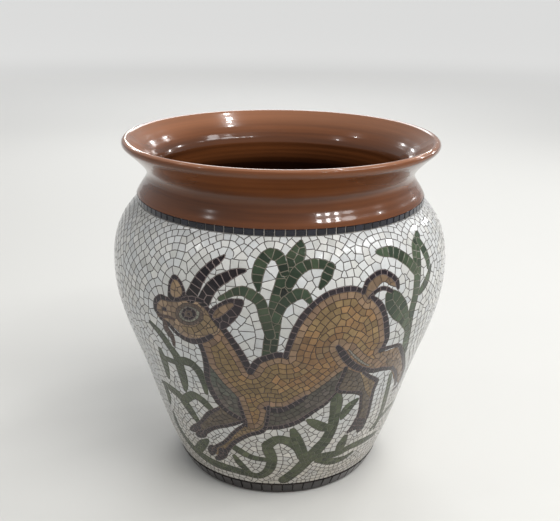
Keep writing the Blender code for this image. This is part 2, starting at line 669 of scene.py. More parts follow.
    def gap_sites(self, best: np.ndarray) -> Sites:
        """More sites where spots are far from every site of their shape, the farthest first.

        Args:
            best: Distance from each spot to its site, in cells.

        Returns:
            The new sites.
        """
        rows, columns = np.nonzero(best > self.gap_limit)
        order = np.argsort(-best[rows, columns], kind="stable")
        rows, columns = rows[order], columns[order]
        index = self.region[rows, columns]
        free = np.ones(len(rows), bool)
        picked = []
        for i in range(len(rows)):
            if free[i]:
                picked.append(i)
                square = (columns - columns[i]) ** 2 + (rows - rows[i]) ** 2
                near = square < (self.gap_crowd * self.size[index[i]]) ** 2
                free &= ~(near & (index == index[i]))
        places = np.stack([columns[picked], rows[picked]], 1).astype(float)
        return Sites(places, index[picked], self.row_of[rows[picked], columns[picked]])

    def worth_keeping(self, sites: Sites, owner: np.ndarray, least: float) -> np.ndarray:
        """Mask of sites whose cells aren't slivers, with each shape's last cells kept.

        Args:
            sites: The sites.
            owner: The site of each spot.
            least: Smallest area of a cell, as a share of its size squared.

        Returns:
            True for each site to keep.
        """
        count = np.bincount(owner[owner >= 0], minlength=len(sites.place))
        keep = count > least * self.size[sites.shape] ** 2
        for index in np.unique(sites.shape[~keep]):
            mine = sites.shape == index
            if not (mine & keep).any():
                keep[mine & (count > 0)] = True
        return keep

    def centred(self, sites: Sites, owner: np.ndarray) -> Sites:
        """Move each site a share of the way to the middle of its cell.

        Args:
            sites: The sites.
            owner: The site of each spot.

        Returns:
            The moved sites.
        """
        rows, columns = np.nonzero(owner >= 0)
        mine = owner[rows, columns]
        count = np.maximum(np.bincount(mine, minlength=len(sites.place)), 1)
        aside = columns - sites.place[mine, 0]
        aside = (aside + self.columns / 2) % self.columns - self.columns / 2
        ways = (aside, rows - sites.place[mine, 1])
        shift = np.stack([np.bincount(mine, way, len(count)) / count for way in ways], 1)
        place = sites.place + self.centring * shift
        place[:, 0] %= self.columns
        return Sites(place, sites.shape, sites.row)

    @staticmethod
    def filled(owner: np.ndarray) -> np.ndarray:
        """The cells grown over spots that no site reached."""
        while (owner < 0).any():
            for shift, axis in ((1, 0), (-1, 0), (1, 1), (-1, 1)):
                owner = np.where(owner < 0, np.roll(owner, shift, axis), owner)
        return owner

    def cut(self) -> tuple[Sites, np.ndarray, np.ndarray]:
        """Cut the picture into cells.

        Returns:
            The sites, the cell of each spot and the distance from each spot to a shape's edge.
        """
        near, far, farthest = self.reaches
        sliver, small = self.least
        self.paint()
        distance = self.edge_distance()
        self.number_rows(distance)
        sites = self.first_sites(distance)
        owner, _ = self.label(sites, near)
        sites = sites.some(self.worth_keeping(sites, owner, sliver))
        _, best = self.label(sites, near)
        sites = sites.plus(self.gap_sites(best))
        owner, _ = self.label(sites, far)
        sites = self.centred(sites, owner)
        owner, _ = self.label(sites, far)
        sites = sites.some(self.worth_keeping(sites, owner, small))
        owner, _ = self.label(sites, farthest)
        return sites, self.filled(owner), distance


class CellOutlines:
    """Cell outlines traced on the raster, with corners and curve points that neighbours share."""

    def __init__(self, owner: np.ndarray, curve: float = 1.0, shortest: int = 3) -> None:
        """Trace all cells.

        Args:
            owner: The cell of each raster spot; the columns go once round the pot.
            curve: How far a traced edge may stray from a straight one, in raster steps.
            shortest: Longest edge, in raster steps, that is closed up into one corner.
        """
        self.owner = owner
        self.curve = curve
        self.width = owner.shape[1]
        self.is_corner = self.find_corners()
        self.known: dict[tuple, list[int]] = {}
        self.parent: dict[int, int] = {}
        loops = []
        for cell, walk in self.walks():
            loops.append((cell, self.outline(walk, shortest)))
        self.cells: list[list[int]] = []
        self.seeds: list[int] = []
        groups: dict[int, list[int]] = {}
        for point in sorted({point for _, loop in loops for point in loop}):
            groups.setdefault(self.root(point), []).append(point)
        number = {root: i for i, root in enumerate(groups)}
        self.column, self.row = self.middles(list(groups.values()))
        for cell, loop in loops:
            joined = [number[self.root(point)] for point in loop]
            for part in self.simple_loops(joined):
                self.cells.append(part)
                self.seeds.append(cell)

    @staticmethod
    def simple_loops(loop: list[int]) -> list[list[int]]:
        """The parts of a loop that pass no point twice, each with three points or more."""
        parts: list[list[int]] = []
        open_part: list[int] = []
        for point in loop:
            if point in open_part:
                first = open_part.index(point)
                parts.append(open_part[first:])
                open_part = open_part[:first]
            open_part.append(point)
        return [part for part in [*parts, open_part] if len(part) >= 3]

    def middles(self, groups: list[list[int]]) -> tuple[np.ndarray, np.ndarray]:
        """Mean place of each group of lattice points, in raster columns and rows."""
        columns, rows = [], []
        for group in groups:
            column, row = np.array(group) % self.width, np.array(group) // self.width
            aside = (column - column[0] + self.width / 2) % self.width - self.width / 2
            columns.append(column[0] + aside.mean() - 0.5)
            rows.append(row.mean() - 0.5)
        return np.array(columns), np.array(rows)

    def find_corners(self) -> np.ndarray:
        """Lattice points where three cells meet, or where two meet crosswise."""
        padded = np.pad(self.owner, ((1, 1), (0, 0)), constant_values=-2)
        beside = np.roll(padded, 1, 1)
        four = np.stack([padded[:-1], beside[:-1], padded[1:], beside[1:]])
        crosswise = (four[0] == four[3]) & (four[1] == four[2]) & (four[0] != four[1])
        ordered = np.sort(four, 0)
        return (((ordered[1:] != ordered[:-1]).sum(0) >= 2) | crosswise).ravel()

    def walks(self) -> list[tuple[int, list[int]]]:
        """Closed walks of lattice points round each cell, with the cell on the left.

        Returns:
            Each walk with the number of its cell.
        """
        owner, width = self.owner, self.width
        height = owner.shape[0]
        padded = np.pad(owner, ((1, 1), (0, 0)), constant_values=-2)
        sides = (
            (padded[:-2] != owner, (0, 0), (1, 0)),
            (np.roll(owner, -1, 1) != owner, (1, 0), (1, 1)),
            (padded[2:] != owner, (1, 1), (0, 1)),
            (np.roll(owner, 1, 1) != owner, (0, 1), (0, 0)),
        )
        cells, starts, ends, headings = [], [], [], []
        for heading, (is_edge, tail, head) in enumerate(sides):
            row, column = np.nonzero(is_edge)
            cells.append(owner[row, column])
            starts.append((row + tail[1]) * width + (column + tail[0]) % width)
            ends.append((row + head[1]) * width + (column + head[0]) % width)
            headings.append(np.full(len(row), heading))
        cell, start, end, heading = (np.concatenate(part) for part in (cells, starts, ends, headings))
        points = (height + 1) * width
        order = np.argsort(cell.astype(np.int64) * points + start, kind="stable")
        cell, start, end, heading = cell[order], start[order], end[order], heading[order]
        key = cell.astype(np.int64) * points + start
        wanted = cell.astype(np.int64) * points + end
        first = np.searchsorted(key, wanted, "left")
        several = np.searchsorted(key, wanted, "right") - first > 1
        turn_left = heading[np.minimum(first, len(key) - 1)] == (heading + 1) % 4
        following = (first + (several & ~turn_left)).tolist()
        at, of = start.tolist(), cell.tolist()
        used = bytearray(len(at))
        found = []
        for edge in range(len(at)):
            if used[edge]:
                continue
            walk = []
            step = edge
            while not used[step]:
                used[step] = 1
                walk.append(at[step])
                step = following[step]
            found.append((of[edge], walk))
        return found

    def root(self, point: int) -> int:
        """The point that stands for all those closed up with this one."""
        while self.parent.get(point, point) != point:
            point = self.parent[point]
        return point

    def outline(self, walk: list[int], shortest: int) -> list[int]:
        """Points kept from a walk: its corners, and what curved edges need between them.

        Args:
            walk: Lattice points round a cell.
            shortest: Longest edge that is closed up into one corner.

        Returns:
            The kept points.
        """
        corners = [i for i, point in enumerate(walk) if self.is_corner[point]]
        if len(corners) < 2:
            return []
        kept = []
        for i, here in enumerate(corners):
            there = corners[(i + 1) % len(corners)]
            path = walk[here : there + 1] if there > here else walk[here:] + walk[: there + 1]
            kept.extend(self.eased(path)[:-1])
            if len(path) - 1 <= shortest and path[0] != path[-1]:
                a, b = self.root(path[0]), self.root(path[-1])
                self.parent[max(a, b)] = min(a, b)
        return kept

    def eased(self, path: list[int]) -> list[int]:
        """The few points that a path needs, the same ones whichever way it is walked.

        Args:
            path: Lattice points from one corner to the next.

        Returns:
            The needed points, in the path's order.
        """
        backwards = (path[0], path[1]) > (path[-1], path[-2])
        if backwards:
            path = path[::-1]
        key = (path[0], path[1], path[-1])
        if key not in self.known:
            column = np.array(path) % self.width
            column = (column - column[0] + self.width // 2) % self.width
            spots = np.stack([column, np.array(path) // self.width], 1).astype(float)
            keep = self.needed(spots, 0, len(path) - 1)
            self.known[key] = [path[i] for i in keep]
        kept = self.known[key]
        return kept[::-1] if backwards else kept

    def needed(self, spots: np.ndarray, first: int, last: int) -> list[int]:
        """Numbers of the points that keep a path within the allowed stray.

        Args:
            spots: The path's points.
            first: Number of its first point.
            last: Number of its last point.

        Returns:
            The numbers, with the first and the last.
        """
        if last - first < 2:
            return [first, last]
        line = spots[last] - spots[first]
        off = spots[first + 1 : last] - spots[first]
        length = math.hypot(*line)
        if length > 0:
            stray = np.abs(off[:, 0] * line[1] - off[:, 1] * line[0]) / length
        else:
            stray = np.hypot(*off.T)
        farthest = int(np.argmax(stray))
        if stray[farthest] <= self.curve:
            return [first, last]
        middle = first + 1 + farthest
        return self.needed(spots, first, middle)[:-1] + self.needed(spots, middle, last)


class Socket:
    """A node's output that does arithmetic with numbers and other outputs."""

    def __init__(self, maker: "NodeMaker", link: bpy.types.NodeSocket) -> None:
        """Keep the maker, to add nodes with, and the output itself."""
        self.maker = maker
        self.link = link

    def _math(self, operation: str, first: object, second: object) -> "Socket":
        """A Math node on two values."""
        return self.maker.node("ShaderNodeMath", {"operation": operation}, {0: first, 1: second})

    def __add__(self, other: object) -> "Socket":
        """Sum."""
        return self._math("ADD", self, other)

    def __radd__(self, other: object) -> "Socket":
        """Sum, from the right."""
        return self._math("ADD", other, self)

    def __sub__(self, other: object) -> "Socket":
        """Difference."""
        return self._math("SUBTRACT", self, other)

    def __rsub__(self, other: object) -> "Socket":
        """Difference, from the right."""
        return self._math("SUBTRACT", other, self)

    def __mul__(self, other: object) -> "Socket":
        """Product."""
        return self._math("MULTIPLY", self, other)

    def __rmul__(self, other: object) -> "Socket":
        """Product, from the right."""
        return self._math("MULTIPLY", other, self)

    def __truediv__(self, other: object) -> "Socket":
        """Quotient."""
        return self._math("DIVIDE", self, other)

    def __rtruediv__(self, other: object) -> "Socket":
        """Quotient, from the right."""
        return self._math("DIVIDE", other, self)

    def beside(self, output: int | str) -> "Socket":
        """Another output of the same node."""
        return Socket(self.maker, self.link.node.outputs[output])

    def clamp(self) -> "Socket":
        """This value held between 0 and 1."""
        return self.maker.node("ShaderNodeClamp", {}, {"Value": self, "Min": 0.0, "Max": 1.0})


@dataclass
class NodeMaker:
    """Adds nodes to one tree."""

    tree: bpy.types.NodeTree

    def node(self, kind: str, settings: dict, values: dict, output: int | str = 0) -> Socket:
        """Add a node.

        Args:
            kind: The node's type name.
            settings: Properties set first. "stops" fills a colour ramp.
            values: Numbers, colours or sockets by input name or number.
            output: Which output to return.

        Returns:
            The chosen output.
        """
        made = self.tree.nodes.new(kind)
        for name, value in settings.items():
            if name == "stops":
                self.fill_ramp(made.color_ramp, value)
            else:
                setattr(made, name, value)
        for name, value in values.items():
            self.feed(made.inputs[name], value)
        return Socket(self, made.outputs[output])

    @staticmethod
    def fill_ramp(ramp: bpy.types.ColorRamp, stops: list[tuple[float, tuple]]) -> None:
        """Set a ramp's stops.

        Args:
            ramp: A new colour ramp.
            stops: Place and colour of each stop.
        """
        while len(ramp.elements) < len(stops):
            ramp.elements.new(0.5)
        for element, (where, colour) in zip(ramp.elements, stops):
            element.position = where
            element.color = (*colour, 1.0)

    def feed(self, target: bpy.types.NodeSocket, value: object) -> None:
        """Link or set one input.

        Args:
            target: The input.
            value: A socket to link, or a number or colour to set.
        """
        if isinstance(value, Socket):
            self.tree.links.new(value.link, target)
        elif isinstance(value, tuple) and len(value) == 3 and target.type == "RGBA":
            target.default_value = (*value, 1.0)
        else:
            target.default_value = value

    def mix(self, share: object, first: object, second: object, blend: str = "MIX") -> Socket:
        """A colour between two colours."""
        settings = {"data_type": "RGBA", "blend_type": blend}
        return self.node("ShaderNodeMix", settings, {0: share, 6: first, 7: second}, 2)

    def noise(self, vector: Socket, scale: float, detail: float, roughness: float = 0.5) -> Socket:
        """Plain noise from 0 to 1."""
        values = {"Vector": vector, "Scale": scale, "Detail": detail, "Roughness": roughness}
        return self.node("ShaderNodeTexNoise", {"noise_dimensions": "3D"}, values)

    def place(self) -> Socket:
        """Object coordinates, in metres."""
        return self.node("ShaderNodeTexCoord", {}, {}, "Object")

    def height(self, place: Socket) -> Socket:
        """Height of a place, in metres."""
        return self.node("ShaderNodeSeparateXYZ", {}, {"Vector": place}, "Z")

    def attribute(self, name: str, output: str = "Fac") -> Socket:
        """A value that the mesh carries."""
        settings = {"attribute_name": name, "attribute_type": "GEOMETRY"}
        return self.node("ShaderNodeAttribute", settings, {}, output)

    def grey(self, level: Socket) -> Socket:
        """A grey of this level."""
        return self.node("ShaderNodeCombineColor", {}, {"Red": level, "Green": level, "Blue": level})

    def led(self, value: Socket, start: tuple, end: tuple, way: str = "SMOOTHSTEP") -> Socket:
        """A value carried from one range to another.

        Args:
            value: The value.
            start: The range that it has.
            end: The range that it gets.
            way: LINEAR or SMOOTHSTEP.

        Returns:
            The new value.
        """
        ranges = {"From Min": start[0], "From Max": start[1], "To Min": end[0], "To Max": end[1]}
        return self.node("ShaderNodeMapRange", {"interpolation_type": way}, {"Value": value, **ranges})

    def bump(self, strength: float, distance: float, height: Socket) -> Socket:
        """Normals of fine relief."""
        values = {"Strength": strength, "Distance": distance, "Height": height}
        return self.node("ShaderNodeBump", {}, values, "Normal")


class Finish:
    """Base of all finishes, each of which says what feeds its one Principled shader."""

    name = "finish"

    def inputs(self, maker: NodeMaker) -> dict[str, object]:
        """What feeds the shader, by input name."""
        raise NotImplementedError

    def make(self) -> bpy.types.Material:
        """Build the material.

        Returns:
            The material, ready to be given to a mesh.
        """
        material = bpy.data.materials.new(self.name)
        material.use_nodes = True
        maker = NodeMaker(material.node_tree)
        shader = material.node_tree.nodes["Principled BSDF"]
        for label, value in self.inputs(maker).items():
            maker.feed(shader.inputs[label], value)
        return material


@dataclass(frozen=True)
class BrownGlaze(Finish):
    """Clear glaze over red-brown clay, brushed round the pot in thin streaks.

    Inside, a painted reflection pales the glaze up the flare, and painted shade darkens it down the throat,
    whose stops give how dark it is at shares of the way up. The stops lighten again just below the
    waist, painted light that softens the edge of the shade there.
    """

    name = "brown_glaze"
    light: tuple = from_screen(131, 77, 42)
    dark: tuple = from_screen(74, 40, 19)
    # The flare colour is a painted reflection, which pales the inner flare towards the lip.
    flare: tuple = from_screen(169, 119, 90)
    # The deep colour is painted shade down the throat.
    deep: tuple = from_screen(56, 34, 24)
    fine_stretch: tuple = (5.0, 5.0, 210.0)
    broad_stretch: tuple = (3.0, 3.0, 62.0)
    # Painted shade down the throat: its span of heights and, by stops, how dark it is, lighter just below
    # the waist.
    throat_shade_span: tuple = (0.27, 0.36)
    throat: tuple = ((0.0, 1.0), (0.22, 0.8), (0.4, 0.35), (0.6, 0.1), (0.7, 0.5), (0.95, 0.0))
    # Painted reflection up the inner flare: its span of heights and how far it pales.
    sheen_span: tuple = (0.34, 0.362)
    sheen_share: float = 0.45
    roughness: float = 0.17

    def inputs(self, maker: NodeMaker) -> dict[str, object]:
        """What feeds the shader, by input name."""
        place = maker.place()
        fine, broad = (
            maker.node("ShaderNodeMapping", {}, {"Vector": place, "Scale": stretch})
            for stretch in (self.fine_stretch, self.broad_stretch)
        )
        fine_streak = maker.noise(fine, 1.0, 3.0)
        broad_streak = maker.noise(broad, 1.0, 2.0)
        cloud = maker.noise(place, 9.0, 3.0)
        streak = fine_streak * 0.35 + broad_streak * 0.45 + cloud * 0.2
        colour = maker.mix(((streak - 0.36) * 3.4).clamp(), self.dark, self.light)
        height = maker.height(place)
        inside = maker.attribute("inside")
        # Painted reflection: the inside is paled up the flare.
        pale = maker.led(height, self.sheen_span, (0.0, self.sheen_share))
        # Painted shade: the inside darkens down the throat by the stops, lightening again just below the
        # waist.
        way = maker.led(height, self.throat_shade_span, (0.0, 1.0), "LINEAR")
        stops = [(where, (share, share, share)) for where, share in self.throat]
        painted_shade = maker.node("ShaderNodeValToRGB", {"stops": stops}, {"Fac": way})
        colour = maker.mix(pale * inside, colour, self.flare)
        return {
            "Base Color": maker.mix(painted_shade * inside, colour, self.deep),
            "Roughness": self.roughness + (broad_streak - 0.5) * 0.1,
            "Normal": maker.bump(0.12, 0.0004, fine_streak),
            "IOR": 1.33,
            "Coat Weight": 0.45,
            "Coat Roughness": 0.04,
        }


@dataclass(frozen=True)
class CellGlaze(Finish):
    """Clear glaze over the painted cells, whose colours are in the mesh.

    Darker paint is mottled more, and no paint as bright as the plain one is.
    """

    name = "mosaic_glaze"
    roughness: float = 0.16
    plain_above: float = 0.85

    def inputs(self, maker: NodeMaker) -> dict[str, object]:
        """What feeds the shader, by input name."""
        paint = maker.attribute("paint", "Color")
        place = maker.place()
        wash = maker.noise(place, 160.0, 4.0, 0.6)
        speck = maker.noise(place, 900.0, 2.0)
        dullness = (self.plain_above - maker.node("ShaderNodeRGBToBW", {}, {"Color": paint})).clamp()
        mottle = ((wash - 0.5) * 1.1 + (speck - 0.5) * 0.4) * dullness
        return {
            "Base Color": maker.mix(1.0, paint, maker.grey(mottle + 1.0), "MULTIPLY"),
            "Roughness": self.roughness + maker.attribute("line") * 0.25 + (wash - 0.5) * 0.08,
            "Normal": maker.bump(0.15, 0.0003, wash),
            "IOR": 1.4,
            "Coat Weight": 0.3,
            "Coat Roughness": 0.05,
        }


@dataclass(frozen=True)
class DarkTileGlaze(Finish):
    """Near-black glaze of a tile ring, a little different on each tile."""

    name: str = "collar_tile_glaze"
    dark: tuple = from_screen(14, 14, 22)
    light: tuple = from_screen(36, 38, 52)

    def inputs(self, maker: NodeMaker) -> dict[str, object]:
        """What feeds the shader, by input name."""
        wash = maker.noise(maker.place(), 240.0, 3.0)
        share = (maker.attribute("shade") * 0.7 + (wash - 0.4) * 0.8).clamp()
        return {
            "Base Color": maker.mix(share, self.dark, self.light),
            "Roughness": 0.14 + wash * 0.12,
            "IOR": 1.33,
            "Coat Weight": 0.35,
            "Coat Roughness": 0.05,
        }


@dataclass(frozen=True)
class BareClay(Finish):
    """Unglazed fired clay under the foot."""

    name = "bare_clay"
    light: tuple = from_screen(176, 122, 88)
    dark: tuple = from_screen(138, 88, 62)

    def inputs(self, maker: NodeMaker) -> dict[str, object]:
        """What feeds the shader, by input name."""
        place = maker.place()
        cloud = maker.noise(place, 40.0, 5.0)
        grit = maker.noise(place, 900.0, 2.0)
        share = ((cloud * 0.6 + grit * 0.4 - 0.35) * 3.0).clamp()
        return {
            "Base Color": maker.mix(share, self.dark, self.light),
            "Roughness": 0.75 + grit * 0.2,
            "Normal": maker.bump(0.4, 0.0003, grit),
        }


@dataclass(frozen=True)
class TileBed(Finish):
    """Slip that fills the joints of the tile rings, pale at the collar and dark at the foot."""

    name = "tile_bed"
    light: tuple = from_screen(206, 200, 192)
    dark: tuple = from_screen(168, 162, 154)
    foot: tuple = from_screen(62, 55, 52)
    foot_height: float = 0.018

    def inputs(self, maker: NodeMaker) -> dict[str, object]:
        """What feeds the shader, by input name."""
        place = maker.place()
        cloud = maker.noise(place, 120.0, 4.0)
        risen = ((maker.height(place) - self.foot_height) * 200.0).clamp()
        return {
            "Base Color": maker.mix(risen, self.foot, maker.mix(cloud, self.dark, self.light)),
            "Roughness": 0.35 + cloud * 0.2,
        }


def mesh_object(name: str, points: np.ndarray, faces: list, smooth: bool = True) -> bpy.types.Object:
    """A linked object with a mesh of the given points and faces."""
    mesh = bpy.data.meshes.new(name)
    mesh.from_pydata(points.tolist(), [], faces)
    mesh.update()
    if smooth:
        mesh.shade_smooth()
    made = bpy.data.objects.new(name, mesh)
    bpy.context.scene.collection.objects.link(made)
    return made


def report_piece(piece: bpy.types.Object) -> None:
    """Tie a finished piece to the frame and log it.

    Args:
        piece: The piece.
    """
    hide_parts(NODE)
    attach(piece, BODY)
    piece.data.calc_loop_triangles()
    LOG.info("%s: %d triangles", piece.name, len(piece.data.loop_triangles))


@dataclass
class Vessel:
    """The turned pot itself: foot, covered body, collar, neck, lip and inside, in metres.

    Behind the cells and the tiles the wall is set back by the backing. The cells start at the low
    edge of their band, above the foot's tiles. The throwing marks keep clear of the lip and of the
    collar band by so many points of the profile, and are twice as deep inside.
    """

    wall: WallCurve
    backing: float = 0.0011
    band_low: float = 0.0155
    sides: int = 256
    body_steps: int = 24
    neck_steps: int = 26
    lip_steps: int = 12
    mark_depth: float = 0.00007
    mark_pitch: float = 0.0062
    clear_of_lip: int = 8
    clear_of_band: int = 2

    def covered_side(self) -> np.ndarray:
        """The wall behind the cells and the tile rings, set back from the outer face."""
        body = self.wall.body(self.body_steps)
        body = body[body[:, 1] > self.wall.foot_bevel]
        band_top = [[self.wall.collar_radius, self.wall.collar_height + self.wall.collar_band]]
        return np.concatenate([body, band_top]) - np.array([self.backing, 0.0])

    def profile(self) -> tuple[np.ndarray, int, int]:
        """Half outline from the underside's middle to the floor's middle.

        Returns:
            The points, the number of the first bare neck point and that of the first inner one.
        """
        foot, bevel, floor = self.wall.foot_radius, self.wall.foot_bevel, self.wall.floor
        underside = [[0.0, 0.0], [foot * 0.5, 0.0], [foot - bevel, 0.0], [foot - bevel / 3, bevel / 3]]
        outside = np.concatenate([underside, self.covered_side()])
        neck = self.wall.neck(self.neck_steps)
        lip = self.wall.lip(self.lip_steps)
        inside = np.concatenate([self.wall.inside(self.body_steps), [[foot * 0.5, floor], [0.0, floor]]])
        points = np.concatenate([outside, neck, lip, inside])
        return points, len(outside), len(outside) + len(neck) + len(lip) // 2

    def throwing_marks(self, turn: np.ndarray, height: np.ndarray) -> np.ndarray:
        """How far the potter's fingers pushed the wall, as a share of the marks' depth."""
        way = height / self.mark_pitch - turn / math.tau
        return np.sin(math.tau * way) * 0.6 + np.sin(math.tau * way * 0.37 + 1.3) * 0.4

    def build(self) -> bpy.types.Object:
        """Turn the profile.

        Returns:
            The closed vessel, whose attribute "inside" is 1 on the inner side.
        """
        profile, neck_start, inner_start = self.profile()
        middles, turned = profile[[0, -1]], profile[1:-1]
        count, sides = len(turned), self.sides
        depth = np.zeros(count)
        depth[neck_start + self.clear_of_band : inner_start - self.clear_of_lip] = self.mark_depth
        depth[inner_start + self.clear_of_lip :] = self.mark_depth * 2
        depth[turned[:, 1] < self.wall.floor + self.wall.floor_corner] = 0.0
        turn = np.arange(sides) * math.tau / sides
        radius, height = (np.repeat(column[:, None], sides, 1) for column in turned.T)
        radius = radius + self.throwing_marks(turn, height) * depth[:, None]
        rings = np.stack([radius * np.sin(turn), -radius * np.cos(turn), height], -1).reshape(-1, 3)
        points = np.concatenate([rings, [[0, 0, height] for height in middles[:, 1]]])
        last = (count - 1) * sides
        around = [(side, (side + 1) % sides) for side in range(sides)]
        faces: list[tuple[int, ...]] = [
            (ring + side, ring + following, ring + sides + following, ring + sides + side)
            for ring in range(0, last, sides)
            for side, following in around
        ]
        for side, following in around:
            faces.append((following, side, len(rings)))
            faces.append((last + side, last + following, len(rings) + 1))
        vessel = mesh_object("vessel", points, faces)
        inside = vessel.data.attributes.new("inside", "FLOAT", "POINT")
        ring_of = np.concatenate([np.repeat(np.arange(count), sides), [0, count]])
        inside.data.foreach_set("value", (ring_of >= inner_start - 1).astype(np.float32))
        vessel.data.set_sharp_from_angle(angle=math.radians(50))
        return vessel

    @staticmethod
    def of_faces(mesh: bpy.types.Mesh, measure: str) -> np.ndarray:
        """The "center" or "normal" of each face, as rows of three."""
        values = np.empty(len(mesh.polygons) * 3)
        mesh.polygons.foreach_get(measure, values)
        return values.reshape(-1, 3)

    def finish(
        self, glaze: bpy.types.Material, clay: bpy.types.Material, bed: bpy.types.Material
    ) -> None:
        """Build the vessel and dress it.

        Args:
            glaze: Finish of the neck, the lip and the inside.
            clay: Finish of the underside.
            bed: Finish behind the cells and the tile rings.
        """
        vessel = self.build()
        for material in (glaze, clay, bed):
            vessel.data.materials.append(material)
        centres, normals = (self.of_faces(vessel.data, measure) for measure in ("center", "normal"))
        outward = (centres[:, :2] * normals[:, :2]).sum(1) > 0
        height = centres[:, 2]
        top = self.wall.collar_height + self.wall.collar_band
        covered = outward & (height > self.wall.foot_bevel) & (height < top - NEAR)
        dressed = np.where(height < 5 * NEAR, 1, np.where(covered, 2, 0))
        vessel.data.polygons.foreach_set("material_index", dressed.astype(np.int32))
        report_piece(vessel)


@dataclass
class Wash:
    """A slow, cloudy change over the rolled-out wall, as a glaze brushed on thick and thin."""

    spacing: float = 12.0
    seed: int = 21

    def at(self, turn: np.ndarray, up: np.ndarray) -> np.ndarray:
        """Strength of the wash, mostly between 0 and 1.

        Args:
            turn: Degrees round the pot.
            up: Degrees up the rolled-out wall.

        Returns:
            One value for each place.
        """
        random = np.random.default_rng(self.seed)
        value = np.zeros(len(turn))
        for octave, weight in ((1, 0.65), (2, 0.35)):
            across = round(360 / self.spacing) * octave
            grid = random.uniform(0, 1, (40 * octave, across))
            x = (turn % 360) / 360 * across
            y = up / self.spacing * octave
            x0, y0 = np.floor(x).astype(int), np.floor(y).astype(int)
            fx, fy = x - x0, y - y0
            fx, fy = fx * fx * (3 - 2 * fx), fy * fy * (3 - 2 * fy)
            x1 = (x0 + 1) % across
            x0 = x0 % across
            lower = grid[y0, x0] * (1 - fx) + grid[y0, x1] * fx
            upper = grid[y0 + 1, x0] * (1 - fx) + grid[y0 + 1, x1] * fx
            value += weight * (lower * (1 - fy) + upper * fy)
        return np.clip((value - 0.5) * 1.7 + 0.5, 0.0, 1.0)


@dataclass
class Corners:
    """Corners of all cells, one cell after the other.

    Each corner has the number of the point that neighbouring cells share, its cell, the corners
    before and after it, and its place in degrees. Each cell has its first corner and its size.
    """

    point: np.ndarray
    cell: np.ndarray
    before: np.ndarray
    after: np.ndarray
    place: np.ndarray
    starts: np.ndarray
    sizes: np.ndarray

    @classmethod
    def of(cls, cells: list[list[int]], shared: np.ndarray) -> "Corners":
        """Line up the corners of the traced cells.

        Args:
            cells: Numbers of each cell's points.
            shared: Degrees round and up of each point.

        Returns:
            The corners, each within half a turn of its cell's first one.
        """
        sizes = np.array([len(cell) for cell in cells])
        starts = np.concatenate([[0], np.cumsum(sizes)[:-1]])
        point = np.concatenate([np.array(cell) for cell in cells])
        cell = np.repeat(np.arange(len(sizes)), sizes)
        place_in = np.arange(len(point)) - starts[cell]
        before, after = (starts[cell] + (place_in + step) % sizes[cell] for step in (-1, 1))
        place = shared[point]
        first = place[starts][cell, 0]
        place[:, 0] = first + (place[:, 0] - first + 180) % 360 - 180
        return cls(point, cell, before, after, place, starts, sizes)

    def middles(self) -> np.ndarray:
        """Degrees round and up of each cell's middle."""
        return np.stack([np.bincount(self.cell, way) / self.sizes for way in self.place.T], 1)

    def inward(self, flat: np.ndarray, by: np.ndarray) -> np.ndarray:
        """Corners moved into their cells, square to both edges.

        Args:
            flat: The corners in metres about their cell's middle.
            by: Distance to move the edges, for each corner.

        Returns:
            The moved corners.
        """
        step = flat[self.after] - flat
        step /= np.linalg.norm(step, axis=1, keepdims=True) + TINY
        square = np.stack([-step[:, 1], step[:, 0]], 1)
        both = square + square[self.before]
        share = 1 + (square * square[self.before]).sum(1, keepdims=True)
        move = both / np.maximum(share, 0.4) * by[:, None]
        size = np.linalg.norm(move, axis=1) + TINY
        return flat + move * np.minimum(1.0, 1.8 * by / size)[:, None]

    def room(self, flat: np.ndarray) -> np.ndarray:
        """Area of each cell for each metre round it.

        Args:
            flat: The corners in metres about their cell's middle.

        Returns:
            One length for each cell.
        """
        following = flat[self.after]
        area = np.bincount(self.cell, flat[:, 0] * following[:, 1] - flat[:, 1] * following[:, 0]) / 2
        return np.abs(area) / np.bincount(self.cell, np.linalg.norm(following - flat, axis=1))


